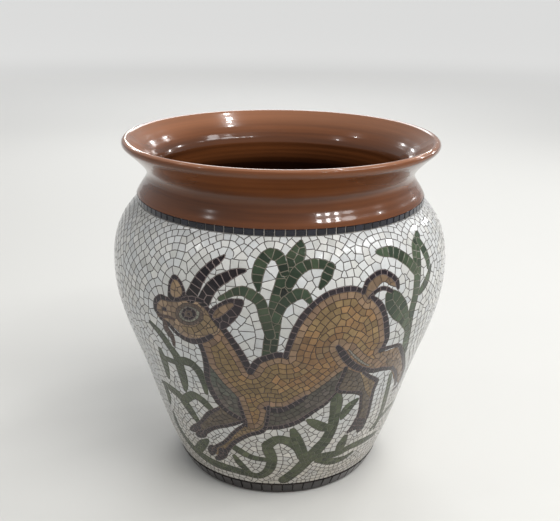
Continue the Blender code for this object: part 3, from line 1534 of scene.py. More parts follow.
@dataclass
class MosaicSkin:
    """The scored and painted cells as one continuous skin, with a groove between cells, in metres.

    From the groove's bottom a cell rises to its rim and then over a rounded shoulder to its top. In
    a small cell the groove and the shoulder take no more than their shares of the room. Below a set
    height the cells and their lines turn darker and warmer towards the foot, partly a warmer slip and
    partly painted shade of the lower body.
    """

    flat: Unrolled
    layout: CellLayout
    groove: float = 0.00042
    groove_share: float = 0.45
    shoulder: float = 0.00085
    shoulder_share: float = 0.9
    depth: float = 0.0005
    rim_depth: float = 0.00010
    skirt: float = 0.0009
    warm_shade_below: float = 0.13
    warm_shade: tuple = (0.93, 0.86, 0.78)

    @staticmethod
    def tint(look: CellColour, at_edge: bool, wash: float, random: np.random.Generator) -> tuple:
        """Linear colour of one cell.

        Args:
            look: Its colour's look.
            at_edge: Whether it lies along the edge of its painted shape.
            wash: Strength of the wash there.
            random: Source of the chance in it.

        Returns:
            Red, green and blue.
        """
        tints = np.array(look.edge if at_edge and look.edge else look.tints, float)
        where = float(np.clip(wash + random.normal(0, look.stray), 0, 1)) * (len(tints) - 1)
        first = min(int(where), len(tints) - 2)
        share = where - first
        tint = tints[first] * (1 - share) + tints[first + 1] * share
        return from_screen(*np.clip(tint * (1 + random.normal(0, look.spread)), 2, 250))

    def colours(
        self, sites: Sites, distance: np.ndarray, seeds: np.ndarray, middles: np.ndarray
    ) -> tuple[np.ndarray, np.ndarray]:
        """Linear colour of each cell and of the line round it.

        Args:
            sites: The cells' sites.
            distance: Distance from each raster spot to a shape's edge.
            seeds: The site of each cell.
            middles: Degrees round and up of each cell's middle.

        Returns:
            Two arrays of shape (cells, 3).
        """
        random = np.random.default_rng(self.layout.seed + 1)
        height = np.interp(middles[:, 1], self.flat.ups, self.flat.heights)
        # Painted shade, with a warmer slip: cells and lines darker and warmer towards the foot.
        low = np.clip(1 - height / self.warm_shade_below, 0, 1)[:, None]
        foot_shade = 1 + low * (np.array(self.warm_shade) - 1)
        washes = Wash().at(middles[:, 0], middles[:, 1])
        depth = distance[self.layout.spots(sites.place)]
        cells, lines = np.zeros((len(seeds), 3)), np.zeros((len(seeds), 3))
        for i, (seed, wash) in enumerate(zip(seeds, washes)):
            index = int(sites.shape[seed])
            look = PALETTE[self.layout.colours[index]]
            at_edge = bool(depth[seed] < self.layout.size[index])
            cells[i] = self.tint(look, at_edge, wash, random)
            lines[i] = from_screen(*look.line)
        return cells * foot_shade, lines * foot_shade

    def build(self) -> list[bpy.types.Object]:
        """Cut the cells, shape the skin and paint it.

        Returns:
            The ground's cells and the picture's, as two pieces.
        """
        sites, owner, distance = self.layout.cut()
        outlines = CellOutlines(owner)
        grain, low, high = self.layout.grain, self.layout.low, self.layout.high
        shared_up = np.clip((outlines.row + 0.5) / grain + low, low, high)
        shared = np.stack([(outlines.column + 0.5) / grain - 180, shared_up], 1)
        corners = Corners.of(outlines.cells, shared)
        middles = corners.middles()
        degree = np.radians(np.interp(middles[:, 1], self.flat.ups, self.flat.radii))[corners.cell, None]
        about = middles[corners.cell]
        flat = (corners.place - about) * degree
        room = corners.room(flat)
        rings = [self.flat.place(*shared.T, np.full(len(shared), -self.depth))]
        for by, share, out in (
            (self.groove, self.groove_share, -self.rim_depth),
            (self.shoulder, self.shoulder_share, 0.0),
        ):
            moved = corners.inward(flat, np.minimum(by, share * room)[corners.cell])
            rings.append(self.flat.place(*(about + moved / degree).T, np.full(len(flat), out)))
        rings.append(self.flat.place(*shared.T, np.full(len(shared), -self.depth - self.skirt)))
        point, after, count = corners.point, corners.after, len(corners.point)
        rim = len(shared) + np.arange(count)
        top, hem = rim + count, len(shared) + 2 * count + point
        up = corners.place[:, 1]
        at_ends = (np.abs(up - end) < CLOSE for end in (low, high))
        on_edge = np.logical_or(*(near & near[after] for near in at_ends))
        grooves = np.stack([point, point[after], rim[after], rim], 1)
        shoulders = np.stack([rim, rim[after], top[after], top], 1)
        tops = [top[start : start + size].tolist() for start, size in zip(corners.starts, corners.sizes)]
        skirts = np.stack([point[after], point, hem, hem[after]], 1)[on_edge]
        faces = grooves.tolist() + shoulders.tolist() + tops + skirts.tolist()
        cells = np.arange(len(tops))
        cell_of_face = np.concatenate([corners.cell, corners.cell, cells, corners.cell[on_edge]])
        parts = (LINE, SHOULDER, TOP, LINE)
        kinds = np.repeat(parts, [count, count, len(tops), len(skirts)])
        seeds = np.array(outlines.seeds)
        cell_colour, line_colour = self.colours(sites, distance, seeds, middles)
        on_line = (kinds == LINE)[:, None]
        paint = np.where(on_line, line_colour[cell_of_face], cell_colour[cell_of_face])
        in_picture = (sites.shape[seeds] > 0)[cell_of_face]
        LOG.info("%d cells laid", len(tops))
        points = np.concatenate(rings)
        return [
            self.piece(name, points, [faces[i] for i in chosen], paint[chosen], kinds[chosen])
            for name, chosen in (
                ("ground_cells", np.nonzero(~in_picture)[0]),
                ("picture_cells", np.nonzero(in_picture)[0]),
            )
        ]

    @staticmethod
    def piece(
        name: str, points: np.ndarray, faces: list, paint: np.ndarray, kinds: np.ndarray
    ) -> bpy.types.Object:
        """One mesh of some faces, with colours on its corners.

        Args:
            name: Name of the piece.
            points: All points.
            faces: The piece's faces.
            paint: Linear colour of each face.
            kinds: LINE, SHOULDER or TOP, for each face.

        Returns:
            The linked object.
        """
        used = np.zeros(len(points), bool)
        for face in faces:
            used[face] = True
        number = np.cumsum(used) - 1
        made = mesh_object(name, points[used], [number[face].tolist() for face in faces])
        mesh = made.data
        counts = np.array([len(face) for face in faces])
        rgba = np.concatenate([paint, np.ones((len(faces), 1))], 1)
        colour = mesh.color_attributes.new("paint", "FLOAT_COLOR", "CORNER")
        colour.data.foreach_set("color", np.repeat(rgba, counts, 0).astype(np.float32).ravel())
        line = mesh.attributes.new("line", "FLOAT", "FACE")
        line.data.foreach_set("value", (kinds == LINE).astype(np.float32))
        mesh.polygons.foreach_set("use_smooth", kinds != TOP)
        mesh.update()
        return made

    def finish(self, glaze: bpy.types.Material) -> None:
        """Build the skin's pieces and dress them."""
        for skin in self.build():
            skin.data.materials.append(glaze)
            report_piece(skin)


@dataclass
class TileRing:
    """One ring of dark tiles round the pot, laid by Geometry Nodes, in metres.

    The ring's radius and the middle's height are those of the wall under the tiles, the tilt is how
    far the wall leans out, and a tile's chamfer is its top's share of its foot.
    """

    name: str
    radius: float
    middle: float
    tilt: float
    tile_height: float
    count: int
    gap: float = 0.0009
    thickness: float = 0.0014
    straight: float = 0.6
    chamfer: float = 0.9
    seed: int = 3

    def sizes(self, glaze: bpy.types.Material) -> dict[str, tuple[str, object]]:
        """Kind and value of each named input of the node tree.

        Args:
            glaze: Finish of the tiles.

        Returns:
            The tree's inputs by name.
        """
        width = math.tau * self.radius / self.count - self.gap
        return {
            "Radius": ("NodeSocketFloat", self.radius),
            "Middle": ("NodeSocketFloat", self.middle),
            "Tilt": ("NodeSocketFloat", self.tilt),
            "Tile Width": ("NodeSocketFloat", width),
            "Tile Height": ("NodeSocketFloat", self.tile_height),
            "Thickness": ("NodeSocketFloat", self.thickness),
            "Chamfer": ("NodeSocketFloat", self.chamfer),
            "Count": ("NodeSocketInt", self.count),
            "Seed": ("NodeSocketInt", self.seed),
            "Material": ("NodeSocketMaterial", glaze),
        }

    def tree(self, sizes: dict[str, tuple[str, object]]) -> bpy.types.NodeTree:
        """The node tree that lays the tiles.

        Args:
            sizes: The tree's inputs by name.

        Returns:
            The tree, which ends in real, dressed faces.
        """
        tree = bpy.data.node_groups.new(f"{self.name}_tiles", "GeometryNodeTree")
        tree.interface.new_socket("Geometry", in_out="OUTPUT", socket_type="NodeSocketGeometry")
        for label, (kind, _) in sizes.items():
            tree.interface.new_socket(label, in_out="INPUT", socket_type=kind)
        maker = NodeMaker(tree)
        given = tree.nodes.new("NodeGroupInput")
        asked = {socket.name: Socket(maker, socket) for socket in given.outputs if socket.name}
        angle = maker.node("GeometryNodeInputIndex", {}, {}) * math.tau / asked["Count"]
        spot = {
            "X": maker.node("ShaderNodeMath", {"operation": "SINE"}, {0: angle}) * asked["Radius"],
            "Y": maker.node("ShaderNodeMath", {"operation": "COSINE"}, {0: angle}) * asked["Radius"] * -1.0,
            "Z": asked["Middle"],
        }
        width = self.random(maker, asked["Seed"], 0.94, 1.04, 1)
        height = self.random(maker, asked["Seed"], 0.95, 1.03, 2)
        turned, scale, middle = (
            maker.node("ShaderNodeCombineXYZ", {}, parts)
            for parts in (
                {"X": asked["Tilt"], "Y": 0.0, "Z": angle},
                {"X": width, "Y": 1.0, "Z": height},
                spot,
            )
        )
        points = maker.node("GeometryNodePoints", {}, {"Count": asked["Count"], "Position": middle})
        tile = self.one_tile(maker, asked)
        laid = maker.node(
            "GeometryNodeInstanceOnPoints",
            {},
            {"Points": points, "Instance": tile, "Rotation": turned, "Scale": scale},
        )
        shaded = maker.node(
            "GeometryNodeStoreNamedAttribute",
            {"data_type": "FLOAT", "domain": "INSTANCE"},
            {"Geometry": laid, "Name": "shade", "Value": self.random(maker, asked["Seed"], 0.0, 1.0, 3)},
        )
        real = maker.node("GeometryNodeRealizeInstances", {}, {"Geometry": shaded})
        dressed = maker.node(
            "GeometryNodeSetMaterial", {}, {"Geometry": real, "Material": asked["Material"]}
        )
        tree.links.new(dressed.link, tree.nodes.new("NodeGroupOutput").inputs[0])
        return tree

    @staticmethod
    def random(maker: NodeMaker, seed: Socket, low: float, high: float, salt: int) -> Socket:
        """A random number for each tile."""
        values = {2: low, 3: high, "Seed": seed + salt}
        return maker.node("FunctionNodeRandomValue", {"data_type": "FLOAT"}, values, 1)

    def one_tile(self, maker: NodeMaker, asked: dict[str, Socket]) -> Socket:
        """A chamfered tile that stands in the XZ plane and faces -Y.

        Args:
            maker: Maker of the tree's nodes.
            asked: The tree's inputs by name.

        Returns:
            The tile.
        """
        sides = {"Size X": asked["Tile Width"], "Size Y": asked["Tile Height"]}
        top = maker.node("GeometryNodeMeshGrid", {}, {**sides, "Vertices X": 2, "Vertices Y": 2})
        chosen = {}
        for share in (self.straight, 1.0 - self.straight):
            values = {"Mesh": top, **chosen, "Offset Scale": asked["Thickness"] * share}
            top = maker.node("GeometryNodeExtrudeMesh", {"mode": "FACES"}, values, "Mesh")
            chosen = {"Selection": top.beside("Top")}
        values = {"Geometry": top, **chosen, "Scale": asked["Chamfer"]}
        eased = maker.node("GeometryNodeScaleElements", {"domain": "FACE"}, values)
        upright = {"Geometry": eased, "Rotation": (math.pi / 2, 0.0, 0.0)}
        return maker.node("GeometryNodeTransform", {}, upright)

    def finish(self, glaze: bpy.types.Material) -> None:
        """Lay the ring and turn it into a plain, finished mesh.

        Args:
            glaze: Finish of the tiles.
        """
        sizes = self.sizes(glaze)
        carrier = mesh_object(f"{self.name}_carrier", np.zeros((0, 3)), [])
        modifier = carrier.modifiers.new("tiles", "NODES")
        modifier.node_group = self.tree(sizes)
        for item in modifier.node_group.interface.items_tree:
            if item.in_out == "INPUT":
                modifier[item.identifier] = sizes[item.name][1]
        ready = carrier.evaluated_get(bpy.context.evaluated_depsgraph_get())
        mesh = bpy.data.meshes.new_from_object(ready)
        mesh.name = self.name
        bpy.data.objects.remove(carrier, do_unlink=True)
        ring = bpy.data.objects.new(self.name, mesh)
        bpy.context.scene.collection.objects.link(ring)
        report_piece(ring)


BRUSH = 0.8
DEEP, MID, GREY, DARK = Glaze.LEAF_DEEP, Glaze.LEAF_MID, Glaze.LEAF_GREY, Glaze.OUTLINE


def outline(*points: tuple[float, float, float]) -> Stroke:
    """A dark outline, painted a little finer than its drawn widths."""
    return Stroke(DARK, tuple((turn, up, width * BRUSH) for turn, up, width in points))


# Plants round the goat.
PLANTS = (
    Stroke(DEEP, ((-3, 192, 13), (-2, 217, 13.5), (-1, 241, 14), (1, 262, 16), (3.5, 280, 17), (6, 291, 13),
        (7, 298, 3))),
    Stroke(DEEP, ((1.5, 275, 8), (0, 286, 10), (-3, 289, 10.5), (-5.5, 282, 11.5), (-6.5, 271, 10),
        (-6, 259, 3.5))),
    Stroke(DEEP, ((-2.5, 216, 9), (-4, 233, 10), (-5.5, 248, 10), (-8.5, 255, 10), (-12, 257, 8),
        (-17.5, 248, 4))),
    Stroke(DEEP, ((3, 265, 8), (5.5, 276, 10), (9.5, 281, 9), (13.5, 280, 8.5), (16.5, 277, 4))),
    Stroke(DEEP, ((15.5, 278, 8), (14, 270, 9.5), (12, 261, 3.5))),
    Stroke(DEEP, ((-1, 232, 7.5), (1, 246, 9), (4, 254, 10), (7, 256, 9), (9.5, 246, 3))),
    Stroke(MID, ((49, 166, 9), (46.5, 191, 10), (45.5, 215, 10), (47, 234, 10), (48, 254, 11),
        (49, 270, 13), (50.5, 280, 12), (54.5, 288, 6))),
    Stroke(MID, ((47, 260, 10), (43.5, 272, 11), (39, 281, 11), (35, 283, 9), (32.5, 284, 4))),
    Stroke(MID, ((53, 283, 7), (54, 274, 10), (55, 263, 8), (54.5, 256, 4))),
    Stroke(MID, ((49.5, 236, 6.5), (53, 243, 9.5), (56.5, 256, 4))),
    Stroke(MID, ((34.5, 245, 6), (36.5, 238, 19), (39, 228, 22), (42, 216, 14.5), (45.5, 200, 7.5))),
    Stroke(GREY, ((-45, 204, 5), (-41, 196, 8.5), (-38.5, 186, 9.5), (-36, 173, 11), (-36, 157, 12),
        (-36.5, 142, 10), (-37.5, 129, 5))),
    Stroke(GREY, ((-36, 169, 9.5), (-31, 171, 10.5), (-28, 164, 10.5), (-27, 151, 8), (-27, 135, 4))),
    Stroke(GREY, ((-44, 174, 5), (-44, 163, 10), (-44.5, 151, 9), (-46, 136, 4))),
    Stroke(GREY, ((-43.5, 164, 6.5), (-37, 165, 7.5))),
    Stroke(GREY, ((-53, 121, 5.5), (-48, 120, 11), (-42.5, 116, 12), (-39.5, 106, 13), (-37, 95, 10),
        (-35, 87, 5))),
    Stroke(GREY, ((-40, 114, 10), (-34, 126, 10), (-30, 123, 10), (-27.5, 116, 8.5), (-25.5, 111, 3.5))),
    Stroke(GREY, ((-52, 119, 7), (-52, 107, 8.5), (-54, 93, 4))),
    Stroke(GREY, ((-54, 80, 4), (-54.5, 62, 9), (-50.5, 46, 11.5), (-43.5, 37, 13), (-35, 31.5, 13),
        (-25.5, 31, 12), (-16, 29.5, 10.5), (-9.5, 27.5, 9), (-4.5, 37, 10), (-2.5, 54, 11), (-4, 69, 12),
        (-4.5, 79, 7))),
    Stroke(GREY, ((-4.5, 75, 11), (-0.5, 84, 11), (4, 82, 11), (9, 71, 11), (12, 54, 11))),
    Stroke(GREY, ((-44, 38, 10), (-37, 56, 10.5), (-33, 66, 4))),
    Stroke(GREY, ((-21, 70, 7.5), (-17, 63, 9), (-11.5, 56, 7.5), (-4, 54, 6))),
    Stroke(GREY, ((-20, 53, 5), (-18, 44, 8), (-14.5, 33, 6.5))),
    Stroke(GREY, ((3.5, 22.5, 12), (9, 36, 13), (13.5, 51, 14), (17.5, 65, 15), (21, 79, 13.5),
        (22.5, 95, 12), (22.5, 113, 12), (22, 129, 13), (21, 142, 7))),
    Stroke(GREY, ((13, 49, 10), (10, 70, 11), (7.5, 86, 10.5), (6, 97, 6))),
    Stroke(GREY, ((23, 93, 7.5), (18.5, 97, 11), (14, 105, 9.5), (11.5, 110, 3.5))),
    Stroke(GREY, ((16, 54, 10), (22, 54, 10), (29, 53, 10), (35.5, 56, 9), (43, 56, 9.5), (54, 55, 6))),
    Stroke(GREY, ((19, 49, 7.5), (27, 42, 10.5), (34, 41, 7), (38.5, 45, 4))),
    Stroke(GREY, ((29, 54, 8), (29.5, 64, 11.5), (30.5, 75, 6.5))),
    Stroke(GREY, ((26, 104, 3.5), (27, 112, 11), (28.5, 119, 11), (31, 125, 5))),
    Stroke(GREY, ((46, 144, 5), (49, 117, 7), (51, 90, 7), (50, 67, 4))),
    Stroke(GREY, ((68, 84, 5), (58, 84, 7.5), (51, 77, 6), (47, 68, 4))),
)

# Filled parts of the goat below its head.
LIMBS_AND_BODY = (
    Patch(Glaze.OCHRE, ((25, 191), (30.5, 191), (37, 182), (44.5, 179), (53, 151), (58, 129), (52, 129),
        (43.5, 153), (33.5, 163), (26, 173))),
    Patch(Glaze.TAIL, ((42.2, 169), (45.5, 176), (51.8, 152), (57.5, 132), (57.5, 119), (51.8, 133),
        (46.2, 151), (41.5, 159), (39.5, 168))),
    Patch(Glaze.SHANK, ((22, 171), (28, 168), (35, 150), (39, 136), (38, 121), (40.5, 97), (38, 80),
        (33, 85), (35, 105), (33, 126), (28, 136), (21, 143))),
    Patch(Glaze.OCHRE_DULL, ((28, 167), (35, 150), (39, 138), (38, 123), (34.5, 132), (30.5, 152))),
    Patch(Glaze.SHANK, ((-21.5, 122), (-15, 118), (-13.5, 107), (-20.5, 96), (-30, 84), (-38, 72),
        (-39.5, 76), (-32.5, 94), (-26.5, 112))),
    Patch(Glaze.OCHRE_DULL, ((-13, 129), (-3.5, 131), (-4, 111), (-6, 96), (-12, 89), (-18, 75), (-24, 56),
        (-29, 48), (-31.5, 51), (-26, 68), (-19, 87), (-14, 102))),
    Patch(Glaze.FLANK_SHADE, ((-6, 132), (1.5, 130), (8, 143), (15, 157), (19.5, 170), (22, 173), (22, 161),
        (21, 143), (17.5, 129), (13, 120), (8, 109), (1.5, 103), (-4.5, 101))),
    Patch(Glaze.OCHRE, ((-21, 214), (-17, 218), (-13, 202), (-8.5, 174), (-4.5, 190), (1.5, 195),
        (4.5, 212), (7, 233), (12, 248), (18, 255), (25, 253), (30, 242), (34, 222), (35.5, 199), (36, 177),
        (29, 163), (22, 171), (15.5, 156), (9, 140), (3, 130), (-3.5, 127), (-6, 105), (-11, 98),
        (-13.5, 124), (-16, 142), (-19.5, 157), (-23, 172), (-24, 201))),
    Patch(Glaze.CHEST_SHADE, ((-24.5, 178), (-22, 170), (-19, 155), (-15, 140), (-13, 122), (-13.5, 107),
        (-19.5, 116), (-24, 126), (-25, 147))),
    Patch(Glaze.TAIL, ((25, 250), (26.5, 259), (29.5, 265), (33.5, 265), (37, 259), (38.5, 250),
        (35.5, 253), (33, 258), (30.5, 254), (29, 246), (27, 241))),
)

# Dark lines round the body, the legs and the tail, and the hooves.
BODY_LINES = (
    outline((-18.5, 227, 6), (-15, 212, 8), (-11.5, 193, 9), (-9, 174, 9.5)),
    outline((-9, 173, 8.5), (-6.5, 186, 8.5), (-3, 192, 8), (0.5, 195, 8), (2.5, 192, 5)),
    outline((2, 193, 6), (3.5, 210, 7), (5, 224, 7.5), (7.5, 237, 7.5), (10.5, 247, 6.5), (14, 254, 6.5),
        (18, 257, 6.5), (22, 257, 6.5), (25.5, 253, 5)),
    outline((25.5, 252, 6), (27, 261, 6), (30, 266, 6), (33, 267, 6), (36, 262, 6), (38, 256, 6.5),
        (38.5, 249, 4.5)),
    outline((27.5, 246, 4), (30, 251, 5), (33, 252, 5), (36, 247, 4.5)),
    outline((28.5, 246, 5), (31.5, 237, 7.5), (33.5, 225, 7.5), (35, 210, 8), (36, 196, 7), (35, 185, 6)),
    outline((34.8, 185, 8), (39, 185, 5), (43.6, 182, 6), (47.4, 170, 6.5), (52.8, 151, 6), (58, 131, 6.5),
        (58.4, 116, 7), (54.8, 112, 4)),
    outline((18.2, 200, 6), (19.8, 193, 9), (22.4, 182, 9.5), (26, 172, 9), (30.2, 165, 8), (34.6, 160, 7),
        (39.2, 158, 6.5), (45.4, 152, 4)),
    # Painted highlight: a thin pale line inside the thigh's outline, where its edge catches the light.
    Stroke(Glaze.EYE_LIGHT, ((22, 195, 1.6), (24.2, 187, 2.4), (27.6, 177, 2.4), (31.2, 169.5, 1.6))),
    outline((44.6, 154, 5), (49.2, 142, 5.5), (52.2, 131, 5.5), (54.6, 120, 5.5)),
    outline((30, 162, 4), (32.8, 155, 5), (38.4, 143, 6), (38.4, 132, 5.5), (39.4, 114, 5), (40.4, 95, 5),
        (39.8, 87, 4)),
    outline((22.4, 173, 6), (21.6, 158, 5.5), (21, 146, 5), (25, 140, 4.5), (31.6, 134, 4.5),
        (33.2, 123, 4), (34.2, 111, 4.2), (34.2, 98, 4.2)),
    outline((-4.5, 127, 5.5), (-0.5, 124, 9), (3.5, 128, 8), (8, 137, 7), (10, 143, 3.5)),
    outline((-4.5, 100, 6), (1.5, 102, 7), (8, 109, 7), (13, 120, 6), (17.5, 129, 4.5), (21, 142, 3.5)),
    outline((-25, 202, 5.5), (-24, 187, 6.5), (-24, 172, 8), (-25, 154, 8), (-24, 136, 8), (-21.5, 122, 7),
        (-18, 114, 7), (-13.5, 108, 6)),
    outline((-14.5, 138, 2.5), (-14, 125, 4.5), (-13, 108, 6), (-12.5, 100, 3.5)),
    outline((-23, 118, 4.5), (-28, 108, 6), (-34, 90, 5), (-41.5, 73, 5.5)),
    outline((-13, 107, 4.5), (-19.5, 98, 5), (-27.5, 88, 6), (-34.5, 74, 7.5)),
    Patch(DARK, ((-35.2, 87), (-35, 80), (-37.2, 72.5), (-41.2, 69), (-43.2, 70.5), (-39.6, 80.5))),
    Patch(DARK, ((-37.2, 75), (-33.6, 79.5), (-32.2, 76.5), (-33.8, 69.5), (-37.8, 64.5), (-40, 67))),
    outline((-13, 103, 4.5), (-18, 89, 5), (-23, 73, 5), (-29, 60, 5), (-32.5, 49, 5)),
    outline((-3.5, 129, 4.5), (-4, 111, 4.5), (-6, 96, 6), (-12, 88, 6), (-18, 76, 6), (-22.5, 62, 6),
        (-26, 49, 6.5)),
    Patch(DARK, ((-30.4, 61), (-28.6, 57), (-30.8, 47.5), (-33.6, 43.5), (-34.8, 49), (-33.4, 57))),
    Patch(DARK, ((-27.6, 59), (-23.8, 61), (-23.4, 53), (-26, 44.5), (-30.4, 38.5), (-31.5, 42),
        (-28.6, 50))),
    Patch(DARK, ((33.6, 98), (40.2, 91), (40.6, 82.4), (39.6, 76.5), (37.2, 75), (35.8, 81), (33.4, 80.5),
        (30.4, 79.4), (32, 89), (33, 95))),
)

# The raised head with its ears and horns.
HEAD = (
    Patch(Glaze.FACE, ((-40, 230), (-38.8, 235), (-36, 235), (-32, 237.5), (-28, 243), (-24, 241.5),
        (-20.8, 234.5), (-18.4, 227.5), (-17.8, 215.5), (-21.6, 207), (-26, 201), (-30.5, 202), (-34, 209),
        (-37, 213), (-40.4, 215.5), (-41, 223))),
    Patch(Glaze.OCHRE_DULL, ((-30.8, 213), (-27.6, 214.5), (-24.4, 220), (-22.6, 230), (-20, 228.5),
        (-18.4, 223.5), (-18.6, 216), (-21.6, 210), (-25.8, 207), (-29, 207))),
    outline((-39.2, 217.5, 4), (-41, 221, 4.5), (-41.4, 226, 5.5), (-40.4, 233, 6.5), (-38.4, 237, 6.5),
        (-36.2, 237, 5.5), (-33.8, 238, 5), (-31.5, 240, 4), (-28, 244, 4), (-24.5, 244, 4.5),
        (-21.5, 237, 5), (-19.5, 230, 5.5)),
    Patch(DARK, ((-38.1, 227), (-36.5, 227.6), (-36.4, 224.4), (-38, 224))),
    Stroke(Glaze.OUTLINE_SOFT, ((-40, 217.5, 3), (-37.6, 218, 3.2), (-35.4, 219, 3), (-33.4, 218, 2.2))),
    outline((-39.4, 214.5, 4), (-37.8, 213, 5), (-35.4, 209.5, 5.5), (-33.4, 204, 5.5), (-30.6, 200, 6),
        (-27.2, 199, 7), (-23.6, 203, 7), (-20.6, 209, 6.5)),
    Stroke(Glaze.OUTLINE_SOFT, ((-37.8, 213, 4), (-37.4, 205, 7.5), (-36.2, 200, 7.5), (-35.4, 194, 5),
        (-35.6, 187, 3.5))),
    Patch(Glaze.EYE_RING, ((-32.6, 224), (-32, 231), (-29.6, 237.2), (-26.8, 239), (-24, 237), (-22.8, 231),
        (-23.2, 224), (-25.8, 218), (-29, 215.8), (-31.6, 217.6))),
    Patch(Glaze.EYE_LIGHT, ((-31.4, 224.4), (-30.2, 231.2), (-27.8, 235.4), (-25.2, 234.2), (-23.9, 230.4),
        (-24.8, 225), (-27.4, 219.8), (-30.2, 220.4))),
    Patch(DARK, ((-30.3, 225.8), (-29.6, 231.2), (-27.8, 234.4), (-25.8, 232.8), (-25.1, 229),
        (-26.4, 223.4), (-28.4, 221.3), (-29.9, 223))),
    Patch(Glaze.EYE_RING, ((-29.3, 227), (-28.5, 230.7), (-27, 231.2), (-26.5, 228), (-27.4, 224.8),
        (-28.8, 224.4))),
    Patch(DARK, ((-28.4, 227.4), (-27.9, 229.2), (-27.2, 229), (-27.2, 227.2), (-27.9, 226.2))),
    Patch(DARK, ((-35.5, 246), (-35, 256), (-33.5, 262), (-31, 259), (-29, 250), (-29, 242), (-32, 237),
        (-35, 238))),
    Patch(Glaze.FACE, ((-34.3, 243.5), (-34.5, 250.5), (-33.4, 257.5), (-31.8, 257.2), (-30.2, 250.8),
        (-30.3, 244.8), (-32.6, 240.8))),
    Patch(DARK, ((-21, 234), (-18, 243), (-14.5, 249), (-10.5, 249), (-11, 239), (-13.5, 227), (-17, 218),
        (-19.5, 225))),
    Patch(Glaze.TAIL, ((-19.8, 231), (-18, 239), (-14.6, 245), (-13.2, 243.5), (-15.6, 235.5), (-17.6, 230),
        (-19.3, 228.3))),
    Stroke(Glaze.HORN, ((-27, 245, 12), (-25.5, 255, 11.5), (-24, 265, 10), (-21.5, 275, 8), (-19, 281, 6),
        (-17.5, 285, 2.5))),
    Stroke(Glaze.HORN, ((-22.5, 244, 12.5), (-21, 254, 12), (-18.5, 263, 11), (-15.5, 269, 9.5),
        (-13, 273, 7), (-10.5, 275, 3.5))),
    outline((-30, 241, 4), (-26.5, 244, 5), (-23, 243, 5)),
)


@dataclass
class Picture:
    """The goat, its plants and the sprigs round the back, as strokes and patches in order.

    A sprig is its foot's turn, its tip's height and its lean, in degrees and millimetres. The points
    of its leaf are (share of its reach, millimetres up, width in mm).
    """

    sprigs: tuple = (
        (92, 262, 5), (128, 232, -4), (165, 268, 4), (202, 236, -5), (240, 262, 4), (276, 228, 4)
    )
    sprig_foot_mm: float = 28.0
    leaf: tuple = ((0.0, 0, 6), (0.4, 14, 11), (0.75, 18, 9), (1.0, 12, 4))

    def sprig(self, turn: float, top_mm: float, lean: float) -> list[Stroke | Patch]:
        """A plain upright sprig for the sides that the photograph doesn't show.

        Args:
            turn: Degrees round the pot of its foot.
            top_mm: Height of its tip.
            lean: Degrees that its tip leans over.

        Returns:
            The stem and its leaves.
        """
        low_mm = self.sprig_foot_mm
        sprig: list[Stroke | Patch] = []
        for number in range(5):
            share = 0.16 + 0.16 * number
            height = low_mm + (top_mm - low_mm) * share
            foot = turn + lean * share
            side = 1 if number % 2 else -1
            length = 13.0 - 1.5 * number
            colour = Glaze.LEAF_MID if number > 2 else Glaze.LEAF_GREY
            points = tuple((foot + side * length * out, height + up, width) for out, up, width in self.leaf)
            sprig.append(Stroke(colour, points))
        stem = (
            (turn - 1.5, low_mm, 8),
            (turn + lean * 0.3 + 1, low_mm + (top_mm - low_mm) * 0.35, 9),
            (turn + lean * 0.7 - 1, low_mm + (top_mm - low_mm) * 0.7, 8),
            (turn + lean, top_mm, 4),
        )
        return [*sprig, Stroke(Glaze.LEAF_GREY, stem)]

    def shapes(self) -> list[Stroke | Patch]:
        """Everything in painting order."""
        back = [piece for place in self.sprigs for piece in self.sprig(*place)]
        return [*back, *PLANTS, *LIMBS_AND_BODY, *BODY_LINES, *HEAD]


